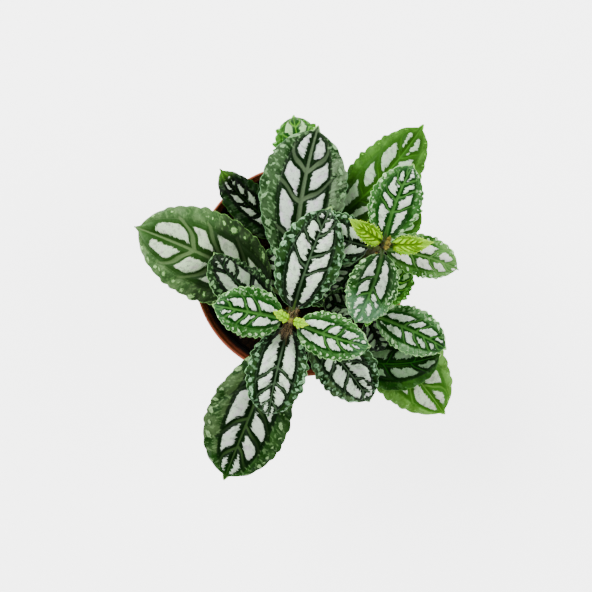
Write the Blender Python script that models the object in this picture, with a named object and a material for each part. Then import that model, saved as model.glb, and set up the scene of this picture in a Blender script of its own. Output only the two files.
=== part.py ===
# A potted aluminum plant: a thin nursery pot filled with soil, five leafy stems standing in it,
# and one solid for each leaf, with its stalk. Metres, +Z up. The origin is the middle of the
# pot's underside, +X is to the right and +Y to the back as the plant is seen from above.

import math
from typing import NamedTuple

import bmesh
import bpy
from mathutils import Vector

MM = 0.001
GAP = 0.35 * MM                  # between pieces that touch on the real plant

# Pot
RIM_DIAMETER = 105 * MM
BASE_DIAMETER = 74 * MM
POT_HEIGHT = 90 * MM
WALL = 1.3 * MM
RIM_BAND_HEIGHT = 10 * MM
RIM_BAND_STEP = 1.6 * MM         # how far the band stands out from the wall below it
FLOOR_THICKNESS = 1.8 * MM
POT_SIDES = 40
DRAIN_HOLES = 6
DRAIN_HOLE_DIAMETER = 8 * MM
DRAIN_CIRCLE_DIAMETER = 48 * MM
DRAIN_HOLE_SIDES = 10

# Soil
SOIL_TOP = 78 * MM
SOIL_BUMP = 1.1 * MM
SOIL_WAVES = ((0.31, 0.17, 0.0), (-0.29, 0.23, 1.3), (0.53, -0.41, 0.0))   # per mm, and phase
SOIL_SIDES = 30
SOIL_RINGS = 7
HOLE_SLACK = 0.8 * MM            # between a stem and the side of its hole

# Stems
STEM_SIDES = 8
NODE_SWELLING = 0.18             # share of the radius
NODE_REACH = 2.2                 # mm up and down the stem
ABOVE_SOIL = 7                   # mm from the foot to the first station
BESIDE_NODE = (-4, 0, 3)         # mm, stations at each node
LEAST_STATION_STEP = 1.5         # mm

# Leaves
BLADE_THICKNESS = 0.7 * MM
KEEL_DEPTH = 0.8 * MM            # how far the midrib stands out under the blade at its base
STALK_WIDTH = 2.0 * MM
STALK_SHARE = 0.16               # of the blade's width: most that a small leaf's half stalk has
STALK_DEPTH = 1.6 * MM
STALK_ROUNDING = 0.45            # share of its depth that the stalk loses at its sides
NERVE_PLACE = 0.58               # of the half width: the two side nerves
FOLD = 0.33                      # how steeply the halves climb from the midrib
DROOP = 0.40                     # how far the margins fall again
WAVE = 0.02                      # up and down of the margin, as a share of the width
WAVE_TURNS = 2.2                 # waves of the margin along the blade
ROLL_END = 0.65                  # of the blade, where its sideways tilt is full
TOOTH = 0.035                    # how far a tooth stands out, as a share of the half width
LEAST_TEETH = 6                  # on each margin, with one more for each LENGTH_PER_TOOTH
LENGTH_PER_TOOTH = 17            # mm
TOOTH_CROWDING = 0.92            # under 1: teeth come closer together towards the tip
CREST_PLACE = 0.55               # of a tooth, where it stands out furthest
BODY_END = 0.965                 # share of the blade under the rounded outline
POINT_START = 0.90               # from here the narrow point may show
POINT_WIDTH = 0.20
COLUMNS = (-1.0, -NERVE_PLACE, 0.0, NERVE_PLACE, 1.0)
MIDRIB_STEPS = 60


class Stem(NamedTuple):
    foot: tuple      # mm, at the bottom of its hole
    bend: tuple      # mm, the point that it leans towards
    top: tuple       # mm
    foot_radius: float
    top_radius: float


class Leaf(NamedTuple):
    stem: str
    height: float            # mm, of its node above the pot's underside
    length: float            # mm, stalk and blade along the midrib
    width: float             # mm
    heading: float           # degrees from +X towards +Y
    rise: float              # degrees, slope where it leaves the stem
    dip: float               # degrees, slope at the tip
    turn: float = 0.0        # degrees that the midrib swings sideways
    widest: float = 0.5      # of the blade's length, from its base
    roll: float = 0.0        # degrees, sideways tilt of the blade
    stalk: float = 0.10      # share of the length that is stalk
    shoulder: float = 0.60   # under 1 the outline is round towards the tip, at 1 nearly straight


STEMS = {
    "tall": Stem((-1, -6, 66), (-4.5, -23, 112), (-4.4, -23.8, 160), 2.4, 1.4),
    "right": Stem((9, 0, 66), (34, 8, 112), (39.6, 11.3, 158), 2.3, 1.3),
    "low": Stem((13, -12, 66), (29, -20, 100), (33, -21, 133), 2.1, 1.3),
    "back": Stem((4, 13, 66), (6, 17, 90), (7, 18, 115), 2.1, 1.4),
    "front": Stem((17, -29, 66), (20, -38, 88), (21, -42, 109), 1.9, 1.3),
}

# Leaves stand in opposite pairs, numbered from the top of each stem down.
LEAVES = {
    "leaf_tall_1_west": Leaf("tall", 153, 35, 23, 169, 22, -5, turn=2, widest=0.48, stalk=0.05),
    "leaf_tall_1_east": Leaf("tall", 153, 37, 21, -18, 24, -10, turn=14, widest=0.46, stalk=0.05),
    "leaf_tall_2_north": Leaf("tall", 141, 54, 30, 70, 30, -14, turn=-12, stalk=0.05),
    "leaf_tall_2_south": Leaf("tall", 141, 47, 28, -103, 22, -25, turn=8, stalk=0.05),
    "leaf_tall_3_west": Leaf("tall", 126, 47, 26, 140, 24, -19, turn=-45, widest=0.55, roll=-36),
    "leaf_tall_3_east": Leaf("tall", 126, 56, 28, -49, 22, -30, turn=-20, widest=0.58),
    "leaf_tall_4_north": Leaf("tall", 110, 89, 41, 82, 34, -16, turn=-17, widest=0.64),
    "leaf_tall_4_south": Leaf("tall", 110, 89, 40, -112, 30, -20, widest=0.62, stalk=0.14),
    "leaf_tall_5_west": Leaf("tall", 96, 87, 44, 155, 32, -18, turn=10, stalk=0.14),
    "leaf_right_1_west": Leaf("right", 155, 22, 10, 147, 45, 13, turn=-15, widest=0.38, shoulder=1.0),
    "leaf_right_1_east": Leaf("right", 155, 22, 9.5, 2, 45, 15, turn=20, widest=0.38, shoulder=1.0),
    "leaf_right_2_north": Leaf("right", 148, 39, 24, 70, 34, -7, turn=-20, stalk=0.05),
    "leaf_right_2_south": Leaf("right", 148, 38, 23, -111, 26, -31, turn=-20, widest=0.48, stalk=0.05),
    "leaf_right_3_west": Leaf("right", 136, 34, 24, 162, 26, -26, turn=-10, stalk=0.05),
    "leaf_right_3_east": Leaf("right", 136, 39, 20, -15, 26, -26, turn=-22, stalk=0.05),
    "leaf_right_4_north": Leaf("right", 120, 33, 15, 38, 40, 10, turn=5, widest=0.55),
    "leaf_right_4_south": Leaf("right", 120, 24, 20, -127, 16, -30, turn=10, widest=0.55),
    "leaf_low_1_east": Leaf("low", 128, 40, 22, -25, 24, -29, turn=-12, stalk=0.05),
    "leaf_low_1_west": Leaf("low", 128, 21, 17, 164, 18, -30, widest=0.55),
    "leaf_low_2_north": Leaf("low", 119, 30, 17, 48, 32, -16, turn=20, widest=0.55),
    "leaf_low_2_south": Leaf("low", 119, 20, 17, -65, 16, -40, widest=0.55),
    "leaf_low_3_east": Leaf("low", 95, 71, 37, -49, 30, -26, turn=-10, widest=0.48, stalk=0.14),
    "leaf_low_3_west": Leaf("low", 95, 26, 18, 150, 20, -18, widest=0.55, stalk=0.14),
    "leaf_back_1_north": Leaf("back", 108, 65, 24, 100, 38, -56, widest=0.62, stalk=0.12),
    "leaf_back_1_south": Leaf("back", 108, 34, 22, -84, 14, -24, widest=0.55, stalk=0.12),
    "leaf_back_2_east": Leaf("back", 98, 76, 31, 45, 30, -8, turn=25, widest=0.5, stalk=0.14),
    "leaf_back_2_west": Leaf("back", 98, 34, 21, -136, 18, -32, widest=0.55, stalk=0.14),
    "leaf_back_3_west": Leaf("back", 90, 58, 21, 143, 34, -6, turn=-45, widest=0.47, stalk=0.14),
    "leaf_back_3_east": Leaf("back", 90, 24, 15, -82, 26, -16, widest=0.55, stalk=0.14),
    "leaf_front_1_east": Leaf("front", 104, 48, 26, 1, 24, -20, turn=42, widest=0.47, stalk=0.12),
    "leaf_front_1_west": Leaf("front", 104, 22, 15, 150, 18, -30, widest=0.55, stalk=0.12),
}

# Buds: length and width of each young leaf in mm, with its heading, from the top of the stem
BUDS = {
    "tall": ((9.5, 5.6, 150), (8.5, 5.2, -12)),
    "right": ((3.6, 2.0, 75), (3.6, 2.0, -110)),
    "low": ((7.0, 4.0, 70), (7.0, 4.0, -115)),
    "back": ((8.0, 4.5, 10), (8.0, 4.5, 185)),
    "front": ((8.0, 4.5, 80), (8.0, 4.5, -100)),
}
BUD_RADIUS = 1.5 * MM
BUD_HEIGHT = 4.0 * MM
BUD_SIDES = 8
BUD_SEAT = 0.6 * MM              # above the middle of the stem's end, which leans
YOUNG_RISE = 50                  # degrees, slopes of a young leaf at its foot and at its tip
YOUNG_DIP = 15
YOUNG_STALK = 0.2                # share of its length
YOUNG_WIDEST = 0.42
YOUNG_SHOULDER = 0.9
YOUNG_ROOT = 0.3                 # how far out and up in the bud it is rooted
YOUNG_TEETH = 5


def clear_scene():
    for obj in list(bpy.data.objects):
        bpy.data.objects.remove(obj, do_unlink=True)


def make_material(name, color, roughness, metallic=0.0):
    material = bpy.data.materials.new(name)
    material.use_nodes = True
    shader = material.node_tree.nodes["Principled BSDF"]
    shader.inputs["Base Color"].default_value = (*color, 1.0)
    shader.inputs["Roughness"].default_value = roughness
    shader.inputs["Metallic"].default_value = metallic
    return material


def add_object(name, bm, material, smooth_angle=40):
    mesh = bpy.data.meshes.new(name)
    bmesh.ops.recalc_face_normals(bm, faces=bm.faces)
    if bm.calc_volume(signed=True) < 0:
        bmesh.ops.reverse_faces(bm, faces=bm.faces)
    bm.to_mesh(mesh)
    bm.free()
    mesh.materials.append(material)
    mesh.shade_smooth()
    mesh.set_sharp_from_angle(angle=math.radians(smooth_angle))
    obj = bpy.data.objects.new(name, mesh)
    bpy.context.scene.collection.objects.link(obj)
    return obj


def boolean(obj, tools, operation):
    # Cuts the tools from the object, or joins them to it, and removes them.
    group = bpy.data.collections.new(obj.name + "_tools")
    bpy.context.scene.collection.children.link(group)
    for tool in tools:
        bpy.context.scene.collection.objects.unlink(tool)
        group.objects.link(tool)
    modifier = obj.modifiers.new("boolean", "BOOLEAN")
    modifier.operation = operation
    modifier.operand_type = "COLLECTION"
    modifier.collection = group
    modifier.solver = "EXACT"
    depsgraph = bpy.context.evaluated_depsgraph_get()
    result = bpy.data.meshes.new_from_object(obj.evaluated_get(depsgraph))
    obj.modifiers.clear()
    plain = obj.data
    obj.data = result
    bpy.data.meshes.remove(plain)
    for tool in tools:
        bpy.data.objects.remove(tool, do_unlink=True)
    bpy.data.collections.remove(group)


def turned(profile, sides, lift=None):
    # Turns a profile of (radius, height) points, axis to axis, round Z. The lift changes the
    # height of a point by its radius and angle.
    bm = bmesh.new()
    rings = []
    for radius, height in profile:
        count = 1 if radius == 0 else sides
        ring = []
        for index in range(count):
            angle = 2 * math.pi * index / sides
            z = height + (lift(radius, angle, height) if lift else 0.0)
            ring.append(bm.verts.new((radius * math.cos(angle), radius * math.sin(angle), z)))
        rings.append(ring)
    for inner, outer in zip(rings, rings[1:]):
        for index in range(sides):
            following = (index + 1) % sides
            corners = [inner[index % len(inner)], outer[index % len(outer)],
                       outer[following % len(outer)], inner[following % len(inner)]]
            face = list(dict.fromkeys(corners))
            bm.faces.new(face)
    return bm


def tube(points, radii, sides):
    bm = bmesh.new()
    rings = []
    for index, (point, radius) in enumerate(zip(points, radii)):
        before = points[max(index - 1, 0)]
        after = points[min(index + 1, len(points) - 1)]
        along = (after - before).normalized()
        side = along.cross(Vector((0, 1, 0))).normalized()
        up = along.cross(side)
        ring = []
        for step in range(sides):
            angle = 2 * math.pi * step / sides
            ring.append(bm.verts.new(point + radius * (math.cos(angle) * side + math.sin(angle) * up)))
        rings.append(ring)
    for lower, upper in zip(rings, rings[1:]):
        for step in range(sides):
            following = (step + 1) % sides
            bm.faces.new((lower[step], lower[following], upper[following], upper[step]))
    bm.faces.new(rings[0])
    bm.faces.new(rings[-1])
    return bm


def pot_radius(height):
    # Outer radius of the tapered wall under the rim band
    top = RIM_DIAMETER / 2 - RIM_BAND_STEP
    return BASE_DIAMETER / 2 + (top - BASE_DIAMETER / 2) * height / POT_HEIGHT


def make_pot(material):
    rim = RIM_DIAMETER / 2
    band = POT_HEIGHT - RIM_BAND_HEIGHT
    edge = 0.6 * MM
    chamfer = 1.5 * MM
    outside = [
        (0, 0),
        (BASE_DIAMETER / 2 - chamfer, 0),
        (pot_radius(chamfer), chamfer),
        (pot_radius(band), band),
        (rim - edge, band + edge),
        (rim, POT_HEIGHT - edge),
        (rim - edge, POT_HEIGHT),
    ]
    inside = [
        (rim - WALL - edge, POT_HEIGHT),
        (rim - WALL - 2 * edge, POT_HEIGHT - edge),
        (pot_radius(band) - WALL, band - edge),
        (pot_radius(FLOOR_THICKNESS) - WALL, FLOOR_THICKNESS),
        (0, FLOOR_THICKNESS),
    ]
    pot = add_object("pot", turned(outside + inside, POT_SIDES), material)
    cutters = []
    for index in range(DRAIN_HOLES):
        angle = 2 * math.pi * index / DRAIN_HOLES
        x = DRAIN_CIRCLE_DIAMETER / 2 * math.cos(angle)
        y = DRAIN_CIRCLE_DIAMETER / 2 * math.sin(angle)
        ends = [Vector((x, y, -WALL)), Vector((x, y, FLOOR_THICKNESS + WALL))]
        radius = DRAIN_HOLE_DIAMETER / 2
        cutters.append(add_object("drain", tube(ends, [radius, radius], DRAIN_HOLE_SIDES), material))
    boolean(pot, cutters, "DIFFERENCE")
    return pot


def soil_lift(radius, angle, height):
    # Low humps on the top of the soil; its sides and bottom stay plain.
    if height < SOIL_TOP - SOIL_BUMP:
        return 0.0
    x = radius * math.cos(angle) / MM
    y = radius * math.sin(angle) / MM
    waves = sum(math.sin(in_x * x + in_y * y + phase) for in_x, in_y, phase in SOIL_WAVES)
    return SOIL_BUMP * waves / len(SOIL_WAVES)


def stem_point(name, fraction):
    stem = STEMS[name]
    foot, bend, top = (Vector(point) * MM for point in (stem.foot, stem.bend, stem.top))
    rest = 1 - fraction
    return foot * rest ** 2 + bend * (2 * rest * fraction) + top * fraction ** 2


def stem_fraction(name, height):
    # The place along the stem that is at a height, found by halving
    low, high = 0.0, 1.0
    for _ in range(40):
        middle = (low + high) / 2
        if stem_point(name, middle).z < height:
            low = middle
        else:
            high = middle
    return (low + high) / 2


def node_heights(name):
    return sorted({leaf.height for leaf in LEAVES.values() if leaf.stem == name})


def stem_radius(name, fraction):
    # Tapers upwards, with a swelling at each node
    stem = STEMS[name]
    radius = stem.foot_radius + (stem.top_radius - stem.foot_radius) * fraction
    height = stem_point(name, fraction).z / MM
    swelling = max(math.exp(-((height - node) / NODE_REACH) ** 2) for node in node_heights(name))
    return radius * (1 + NODE_SWELLING * swelling) * MM


def stem_stations(name):
    # Fractions along the stem: its ends and places round each node
    stem = STEMS[name]
    heights = [stem.foot[2], stem.foot[2] + ABOVE_SOIL]
    heights += [node + offset for node in node_heights(name) for offset in BESIDE_NODE]
    heights.append(stem.top[2])
    kept = [heights[0]]
    for height in heights[1:]:
        if height - kept[-1] > LEAST_STATION_STEP:
            kept.append(height)
    kept[-1] = stem.top[2]
    return [stem_fraction(name, height * MM) for height in kept]


def make_soil(material):
    slack = GAP + 0.1 * MM
    bottom = FLOOR_THICKNESS + GAP
    reach = pot_radius(SOIL_TOP) - WALL - slack - SOIL_BUMP / 4
    profile = [(0, bottom), (pot_radius(bottom) - WALL - slack, bottom)]
    profile += [(reach * ring / SOIL_RINGS, SOIL_TOP) for ring in range(SOIL_RINGS, -1, -1)]
    soil = add_object("soil", turned(profile, SOIL_SIDES, soil_lift), material)
    cutters = []
    for name in STEMS:
        fractions = [step / 10 for step in range(5)]
        points = [stem_point(name, fraction) for fraction in fractions]
        points[0] -= (points[1] - points[0]).normalized() * GAP
        radii = [stem_radius(name, fraction) + HOLE_SLACK for fraction in fractions]
        cutters.append(add_object("hole_" + name, tube(points, radii, STEM_SIDES), material))
    boolean(soil, cutters, "DIFFERENCE")
    return soil


def make_stem(name, material):
    stations = stem_stations(name)
    points = [stem_point(name, station) for station in stations]
    radii = [stem_radius(name, station) for station in stations]
    return add_object("stem_" + name, tube(points, radii, STEM_SIDES), material)


def half_width(leaf, along):
    # Outline of the blade: a wedge at its base, shoulders and a short drawn-out point
    if along <= 0 or along >= 1:
        return 0.0
    base = leaf.shoulder * leaf.widest / (1 - leaf.widest)
    body = 0.0
    if along < BODY_END:
        place = along / BODY_END
        body = (place / leaf.widest) ** base * ((1 - place) / (1 - leaf.widest)) ** leaf.shoulder
    if along > POINT_START:
        body = max(body, POINT_WIDTH * (1 - along) / (1 - POINT_START))
    return leaf.width / 2 * MM * body


def level_direction(degrees):
    return Vector((math.cos(math.radians(degrees)), math.sin(math.radians(degrees)), 0))


def leaf_start(leaf):
    fraction = stem_fraction(leaf.stem, leaf.height * MM)
    out = level_direction(leaf.heading - leaf.turn / 2)
    return stem_point(leaf.stem, fraction) + out * (stem_radius(leaf.stem, fraction) + GAP)


def midrib_direction(leaf, fraction):
    slope = math.radians(leaf.rise + (leaf.dip - leaf.rise) * fraction)
    level = level_direction(leaf.heading + leaf.turn * (fraction - 0.5))
    return level * math.cos(slope) + Vector((0, 0, math.sin(slope)))


def midrib_line(leaf, start):
    # Walks from the foot of the stalk to the tip; slope and heading change evenly on the way.
    points = [start]
    step = leaf.length * MM / MIDRIB_STEPS
    for index in range(MIDRIB_STEPS):
        points.append(points[-1] + step * midrib_direction(leaf, (index + 0.5) / MIDRIB_STEPS))
    return points


def leaf_frame(leaf, line, fraction):
    # The midrib's point at a fraction of the length, with the blade's side and up directions
    place = fraction * MIDRIB_STEPS
    index = min(int(place), MIDRIB_STEPS - 1)
    point = line[index].lerp(line[index + 1], place - index)
    along = midrib_direction(leaf, fraction)
    side = along.cross(Vector((0, 0, 1))).normalized()
    up = side.cross(along)
    blade = max(0.0, (fraction - leaf.stalk) / (1 - leaf.stalk))
    roll = math.radians(leaf.roll) * min(1.0, blade / ROLL_END)
    rolled_side = side * math.cos(roll) + up * math.sin(roll)
    rolled_up = up * math.cos(roll) - side * math.sin(roll)
    return point, rolled_side, rolled_up


def blade_point(leaf, line, along, across, spread):
    # A point of the blade's upper face and the up direction there. The halves climb from the
    # midrib and fall again to margins that ripple.
    point, side, up = leaf_frame(leaf, line, leaf.stalk + (1 - leaf.stalk) * along)
    crown = spread * (FOLD * abs(across) - DROOP * across ** 2)
    ripple = WAVE * leaf.width * MM * math.sin(WAVE_TURNS * 2 * math.pi * along + leaf.heading)
    return point + side * spread * across + up * (crown + ripple * across ** 2), up


def leaf_sheet(leaf, start, teeth):
    # The upper face as spots (point, up direction, depth of the leaf under it), the triangles
    # between them, and the spots round its rim in order.
    line = midrib_line(leaf, start)
    stalk = min(STALK_WIDTH / 2, STALK_SHARE * leaf.width * MM)
    stalk_depth = min(STALK_DEPTH, 2 * stalk)
    spots, triangles = [], []
    rows = []
    for fraction in (0.0, 0.5):
        point, side, up = leaf_frame(leaf, line, fraction * leaf.stalk)
        rows.append(range(len(spots), len(spots) + len(COLUMNS)))
        for across in COLUMNS:
            depth = max(BLADE_THICKNESS, stalk_depth * (1 - STALK_ROUNDING * across ** 2))
            spots.append((point + side * stalk * across, up, depth))
    stations = [(index / teeth) ** TOOTH_CROWDING for index in range(teeth + 1)]
    for along in stations[:-1]:
        spread = max(stalk, half_width(leaf, along) * (1 - TOOTH))
        rows.append(range(len(spots), len(spots) + len(COLUMNS)))
        for across in COLUMNS:
            point, up = blade_point(leaf, line, along, across, spread)
            keel = KEEL_DEPTH * (1 - along) if across == 0 else 0.0
            spots.append((point, up, BLADE_THICKNESS + keel))
    point, side, up = leaf_frame(leaf, line, 1.0)
    tip = len(spots)
    spots.append((point, up, BLADE_THICKNESS))
    rows.append([tip] * len(COLUMNS))

    blade_rows = len(rows) - len(stations)
    near_rim, far_rim = [], []
    for number, (row, following) in enumerate(zip(rows, rows[1:])):
        near_rim.append(row[0])
        far_rim.append(row[-1])
        columns = range(len(COLUMNS) - 1)
        if number >= blade_rows:
            columns = range(1, len(COLUMNS) - 2)
            along, after = stations[number - blade_rows], stations[number - blade_rows + 1]
            crest = along + CREST_PLACE * (after - along)
            spread = max(stalk, half_width(leaf, crest) * (1 + TOOTH))
            for margin, inner, rim in ((0, 1, near_rim), (-1, -2, far_rim)):
                point, up = blade_point(leaf, line, crest, COLUMNS[margin], spread)
                tooth = len(spots)
                spots.append((point, up, BLADE_THICKNESS))
                rim.append(tooth)
                triangles.append((row[margin], row[inner], tooth))
                triangles.append((row[inner], following[inner], tooth))
                triangles.append((following[inner], following[margin], tooth))
        for column in columns:
            triangles.append((row[column], row[column + 1], following[column + 1]))
            triangles.append((row[column], following[column + 1], following[column]))
    triangles = [corners for corners in triangles if len(set(corners)) == 3]
    foot = list(rows[0])[1:-1]
    rim = near_rim + [tip] + far_rim[::-1] + foot[::-1]
    return spots, triangles, rim


def leaf_mesh(leaf, start, teeth):
    # The sheet, the same sheet again underneath, and a wall round the rim
    spots, triangles, rim = leaf_sheet(leaf, start, teeth)
    bm = bmesh.new()
    above = [bm.verts.new(point) for point, up, depth in spots]
    below = [bm.verts.new(point - up * depth) for point, up, depth in spots]
    for a, b, c in triangles:
        bm.faces.new((above[a], above[b], above[c]))
        bm.faces.new((below[c], below[b], below[a]))
    for a, b in zip(rim, rim[1:] + rim[:1]):
        bm.faces.new((above[a], above[b], below[b], below[a]))
    return bm


def make_leaf(name, leaf, material):
    teeth = round(LEAST_TEETH + leaf.length / LENGTH_PER_TOOTH)
    return add_object(name, leaf_mesh(leaf, leaf_start(leaf), teeth), material)


def make_bud(name, material):
    # A small pointed core on the stem's end with young leaves rooted in it
    top = Vector(STEMS[name].top) * MM + Vector((0, 0, BUD_SEAT))
    profile = [
        (0, 0),
        (0.7 * BUD_RADIUS, 0),
        (BUD_RADIUS, 0.4 * BUD_HEIGHT),
        (0.75 * BUD_RADIUS, 0.7 * BUD_HEIGHT),
        (0, BUD_HEIGHT),
    ]
    core = add_object("bud_" + name, turned(profile, BUD_SIDES), material)
    for vertex in core.data.vertices:
        vertex.co += top
    young = []
    for length, width, heading in BUDS[name]:
        leaf = Leaf(name, STEMS[name].top[2], length, width, heading, YOUNG_RISE, YOUNG_DIP,
                    widest=YOUNG_WIDEST, stalk=YOUNG_STALK, shoulder=YOUNG_SHOULDER)
        root = top + level_direction(heading) * YOUNG_ROOT * BUD_RADIUS
        root.z += YOUNG_ROOT * BUD_HEIGHT
        young.append(add_object("young", leaf_mesh(leaf, root, YOUNG_TEETH), material))
    boolean(core, young, "UNION")
    return core


def main():
    clear_scene()
    make_pot(make_material("terracotta_plastic", (0.36, 0.13, 0.08), 0.45))
    make_soil(make_material("soil", (0.025, 0.018, 0.013), 0.95))
    stem_material = make_material("green_stem", (0.16, 0.20, 0.06), 0.5)
    leaf_material = make_material("silver_marked_leaf", (0.10, 0.22, 0.08), 0.4)
    bud_material = make_material("young_leaf", (0.42, 0.55, 0.08), 0.45)
    for name in STEMS:
        make_stem(name, stem_material)
        make_bud(name, bud_material)
    for name, leaf in LEAVES.items():
        make_leaf(name, leaf, leaf_material)


main()
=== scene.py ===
import math
import random

import bpy
import numpy as np
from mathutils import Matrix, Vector


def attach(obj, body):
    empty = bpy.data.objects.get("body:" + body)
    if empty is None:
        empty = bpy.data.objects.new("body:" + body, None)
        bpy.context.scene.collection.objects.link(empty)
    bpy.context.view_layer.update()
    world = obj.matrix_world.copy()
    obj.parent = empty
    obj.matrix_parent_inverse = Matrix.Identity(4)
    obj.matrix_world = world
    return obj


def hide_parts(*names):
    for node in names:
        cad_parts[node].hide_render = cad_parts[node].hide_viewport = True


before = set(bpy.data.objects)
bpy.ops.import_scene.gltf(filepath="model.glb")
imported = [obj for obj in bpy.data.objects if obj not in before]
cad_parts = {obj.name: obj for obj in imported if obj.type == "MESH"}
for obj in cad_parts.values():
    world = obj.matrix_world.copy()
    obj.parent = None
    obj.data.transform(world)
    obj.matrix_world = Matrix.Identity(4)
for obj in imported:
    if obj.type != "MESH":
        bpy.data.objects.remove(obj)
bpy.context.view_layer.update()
mm = 0.001


# Small helpers for objects and their meshes

def nothingSelected():
    bpy.ops.object.select_all(action="DESELECT")


def onlySelected(piece):
    nothingSelected()
    piece.select_set(True)
    bpy.context.view_layer.objects.active = piece


def applyModifier(piece, kind, **settings):
    onlySelected(piece)
    modifier = piece.modifiers.new(kind.title(), kind)
    for name, value in settings.items():
        setattr(modifier, name, value)
    bpy.ops.object.modifier_apply(modifier=modifier.name)


def blank(name, across, along):
    # A flat grid, x and y from -0.5 to 0.5, whose points are then laid where they belong
    nothingSelected()
    bpy.ops.mesh.primitive_grid_add(x_subdivisions=across, y_subdivisions=along, size=1)
    piece = bpy.context.object
    piece.name = name
    piece.data.name = name
    return piece


def pointsOf(mesh):
    flat = np.empty(len(mesh.vertices) * 3, np.float32)
    mesh.vertices.foreach_get("co", flat)
    return flat.reshape(-1, 3).astype(float)


def placePoints(mesh, points):
    mesh.vertices.foreach_set("co", np.ascontiguousarray(points * mm, np.float32).ravel())
    mesh.update()


def addField(mesh, name, values):
    vector = values.ndim == 2
    field = mesh.attributes.new(name, "FLOAT_VECTOR" if vector else "FLOAT", "POINT")
    field.data.foreach_set("vector" if vector else "value", np.ascontiguousarray(values, np.float32).ravel())


def mergeDoubles(piece, outward=False):
    onlySelected(piece)
    bpy.ops.object.mode_set(mode="EDIT")
    bpy.ops.mesh.select_all(action="SELECT")
    bpy.ops.mesh.remove_doubles(threshold=0.00001)
    if outward:
        bpy.ops.mesh.normals_make_consistent(inside=False)
    bpy.ops.object.mode_set(mode="OBJECT")


def joined(pieces, name):
    nothingSelected()
    for piece in pieces:
        piece.select_set(True)
    bpy.context.view_layer.objects.active = pieces[0]
    bpy.ops.object.join()
    result = bpy.context.object
    result.name = name
    result.data.name = name
    return result


def copied(piece, name):
    # The same shape again with a mesh of its own
    twin = piece.copy()
    twin.data = piece.data.copy()
    twin.name = name
    bpy.context.scene.collection.objects.link(twin)
    return twin


def smoothShaded(piece, degrees=60):
    onlySelected(piece)
    bpy.ops.object.shade_smooth_by_angle(angle=math.radians(degrees))


def unit(vectors):
    return vectors / np.linalg.norm(vectors, axis=-1, keepdims=True)


def tube(name, line, radii, sides, flatness=1.0, rise=(0.0, 0.0, 1.0)):
    # A closed tube round a line of points: a grid wrapped round, its ends drawn in to points
    piece = blank(name, sides, len(line) + 1)
    place = pointsOf(piece.data)
    angle = (place[:, 0] + 0.5) * 2 * math.pi
    row = np.rint((place[:, 1] + 0.5) * (len(line) + 1)).astype(int)
    ring = np.clip(row - 1, 0, len(line) - 1)
    radius = np.where((row == 0) | (row == len(line) + 1), 0.0, np.asarray(radii, float)[ring])
    tangents = unit(np.gradient(line, axis=0))
    side = np.cross(tangents, rise)
    alongRise = np.linalg.norm(side, axis=1, keepdims=True) < 0.2
    side = unit(np.where(alongRise, np.cross(tangents, (0.0, 1.0, 0.0)), side))
    up = np.cross(side, tangents)
    offset = side[ring] * np.cos(angle)[:, None] + up[ring] * (np.sin(angle) * flatness)[:, None]
    placePoints(piece.data, line[ring] + offset * radius[:, None])
    mergeDoubles(piece, outward=True)
    return piece


def standsFor(piece, node, slot):
    # The piece is shown in place of the solid, and everything here rests in the pot
    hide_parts(node)
    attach(piece, "root")


# Shader maths

class Wire:
    # One socket of a material, so that its maths reads as sums and products
    def __init__(self, tree, socket=None):
        self.tree = tree
        self.socket = socket

    def node(self, kind, settings=None, values=None, output=0):
        made = self.tree.nodes.new(kind)
        for name, setting in (settings or {}).items():
            setattr(made, name, setting)
        for name, value in (values or {}).items():
            if isinstance(value, Wire):
                self.tree.links.new(value.socket, made.inputs[name])
            else:
                made.inputs[name].default_value = value
        return Wire(self.tree, made.outputs[output])

    def maths(self, operation, *values):
        return self.node("ShaderNodeMath", {"operation": operation}, dict(enumerate(values)))

    def __add__(self, other):
        return self.maths("ADD", self, other)

    __radd__ = __add__

    def __sub__(self, other):
        return self.maths("SUBTRACT", self, other)

    def __rsub__(self, other):
        return self.maths("SUBTRACT", other, self)

    def __mul__(self, other):
        return self.maths("MULTIPLY", self, other)

    __rmul__ = __mul__

    def __abs__(self):
        return self.maths("ABSOLUTE", self)

    def smooth(self, low, high):
        # 0 below low, 1 above high, eased between
        values = {"Value": self, "From Min": low, "From Max": high}
        return self.node("ShaderNodeMapRange", {"interpolation_type": "SMOOTHSTEP"}, values)

    def between(self, first, second):
        # Mixes two colours by this wire
        return self.node("ShaderNodeMix", {"data_type": "RGBA"}, {0: self, 6: first, 7: second}, output=2)

    def field(self, name):
        return self.node("ShaderNodeAttribute", {"attribute_name": name}, output=2)

    def fieldVector(self, name):
        return self.node("ShaderNodeAttribute", {"attribute_name": name}, output=1)

    def part(self, axis):
        return self.node("ShaderNodeSeparateXYZ", None, {0: self}, output=axis)

    def stretched(self, x, y, z):
        return self.node("ShaderNodeVectorMath", {"operation": "MULTIPLY"}, {0: self, 1: (x, y, z)})

    def length(self):
        return self.node("ShaderNodeVectorMath", {"operation": "LENGTH"}, {0: self}, output=1)

    def ownPlace(self):
        return self.node("ShaderNodeTexCoord", output=3)

    def noise(self, scale, detail=2.0, roughness=0.5):
        values = {"Vector": self, "Scale": scale, "Detail": detail, "Roughness": roughness}
        return self.node("ShaderNodeTexNoise", None, values)

    def bumped(self, distance, strength=1.0):
        return self.node("ShaderNodeBump", None, {"Height": self, "Distance": distance, "Strength": strength})


lightOnWhite = 1.6      # what the studio throws on a level white sheet


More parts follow.
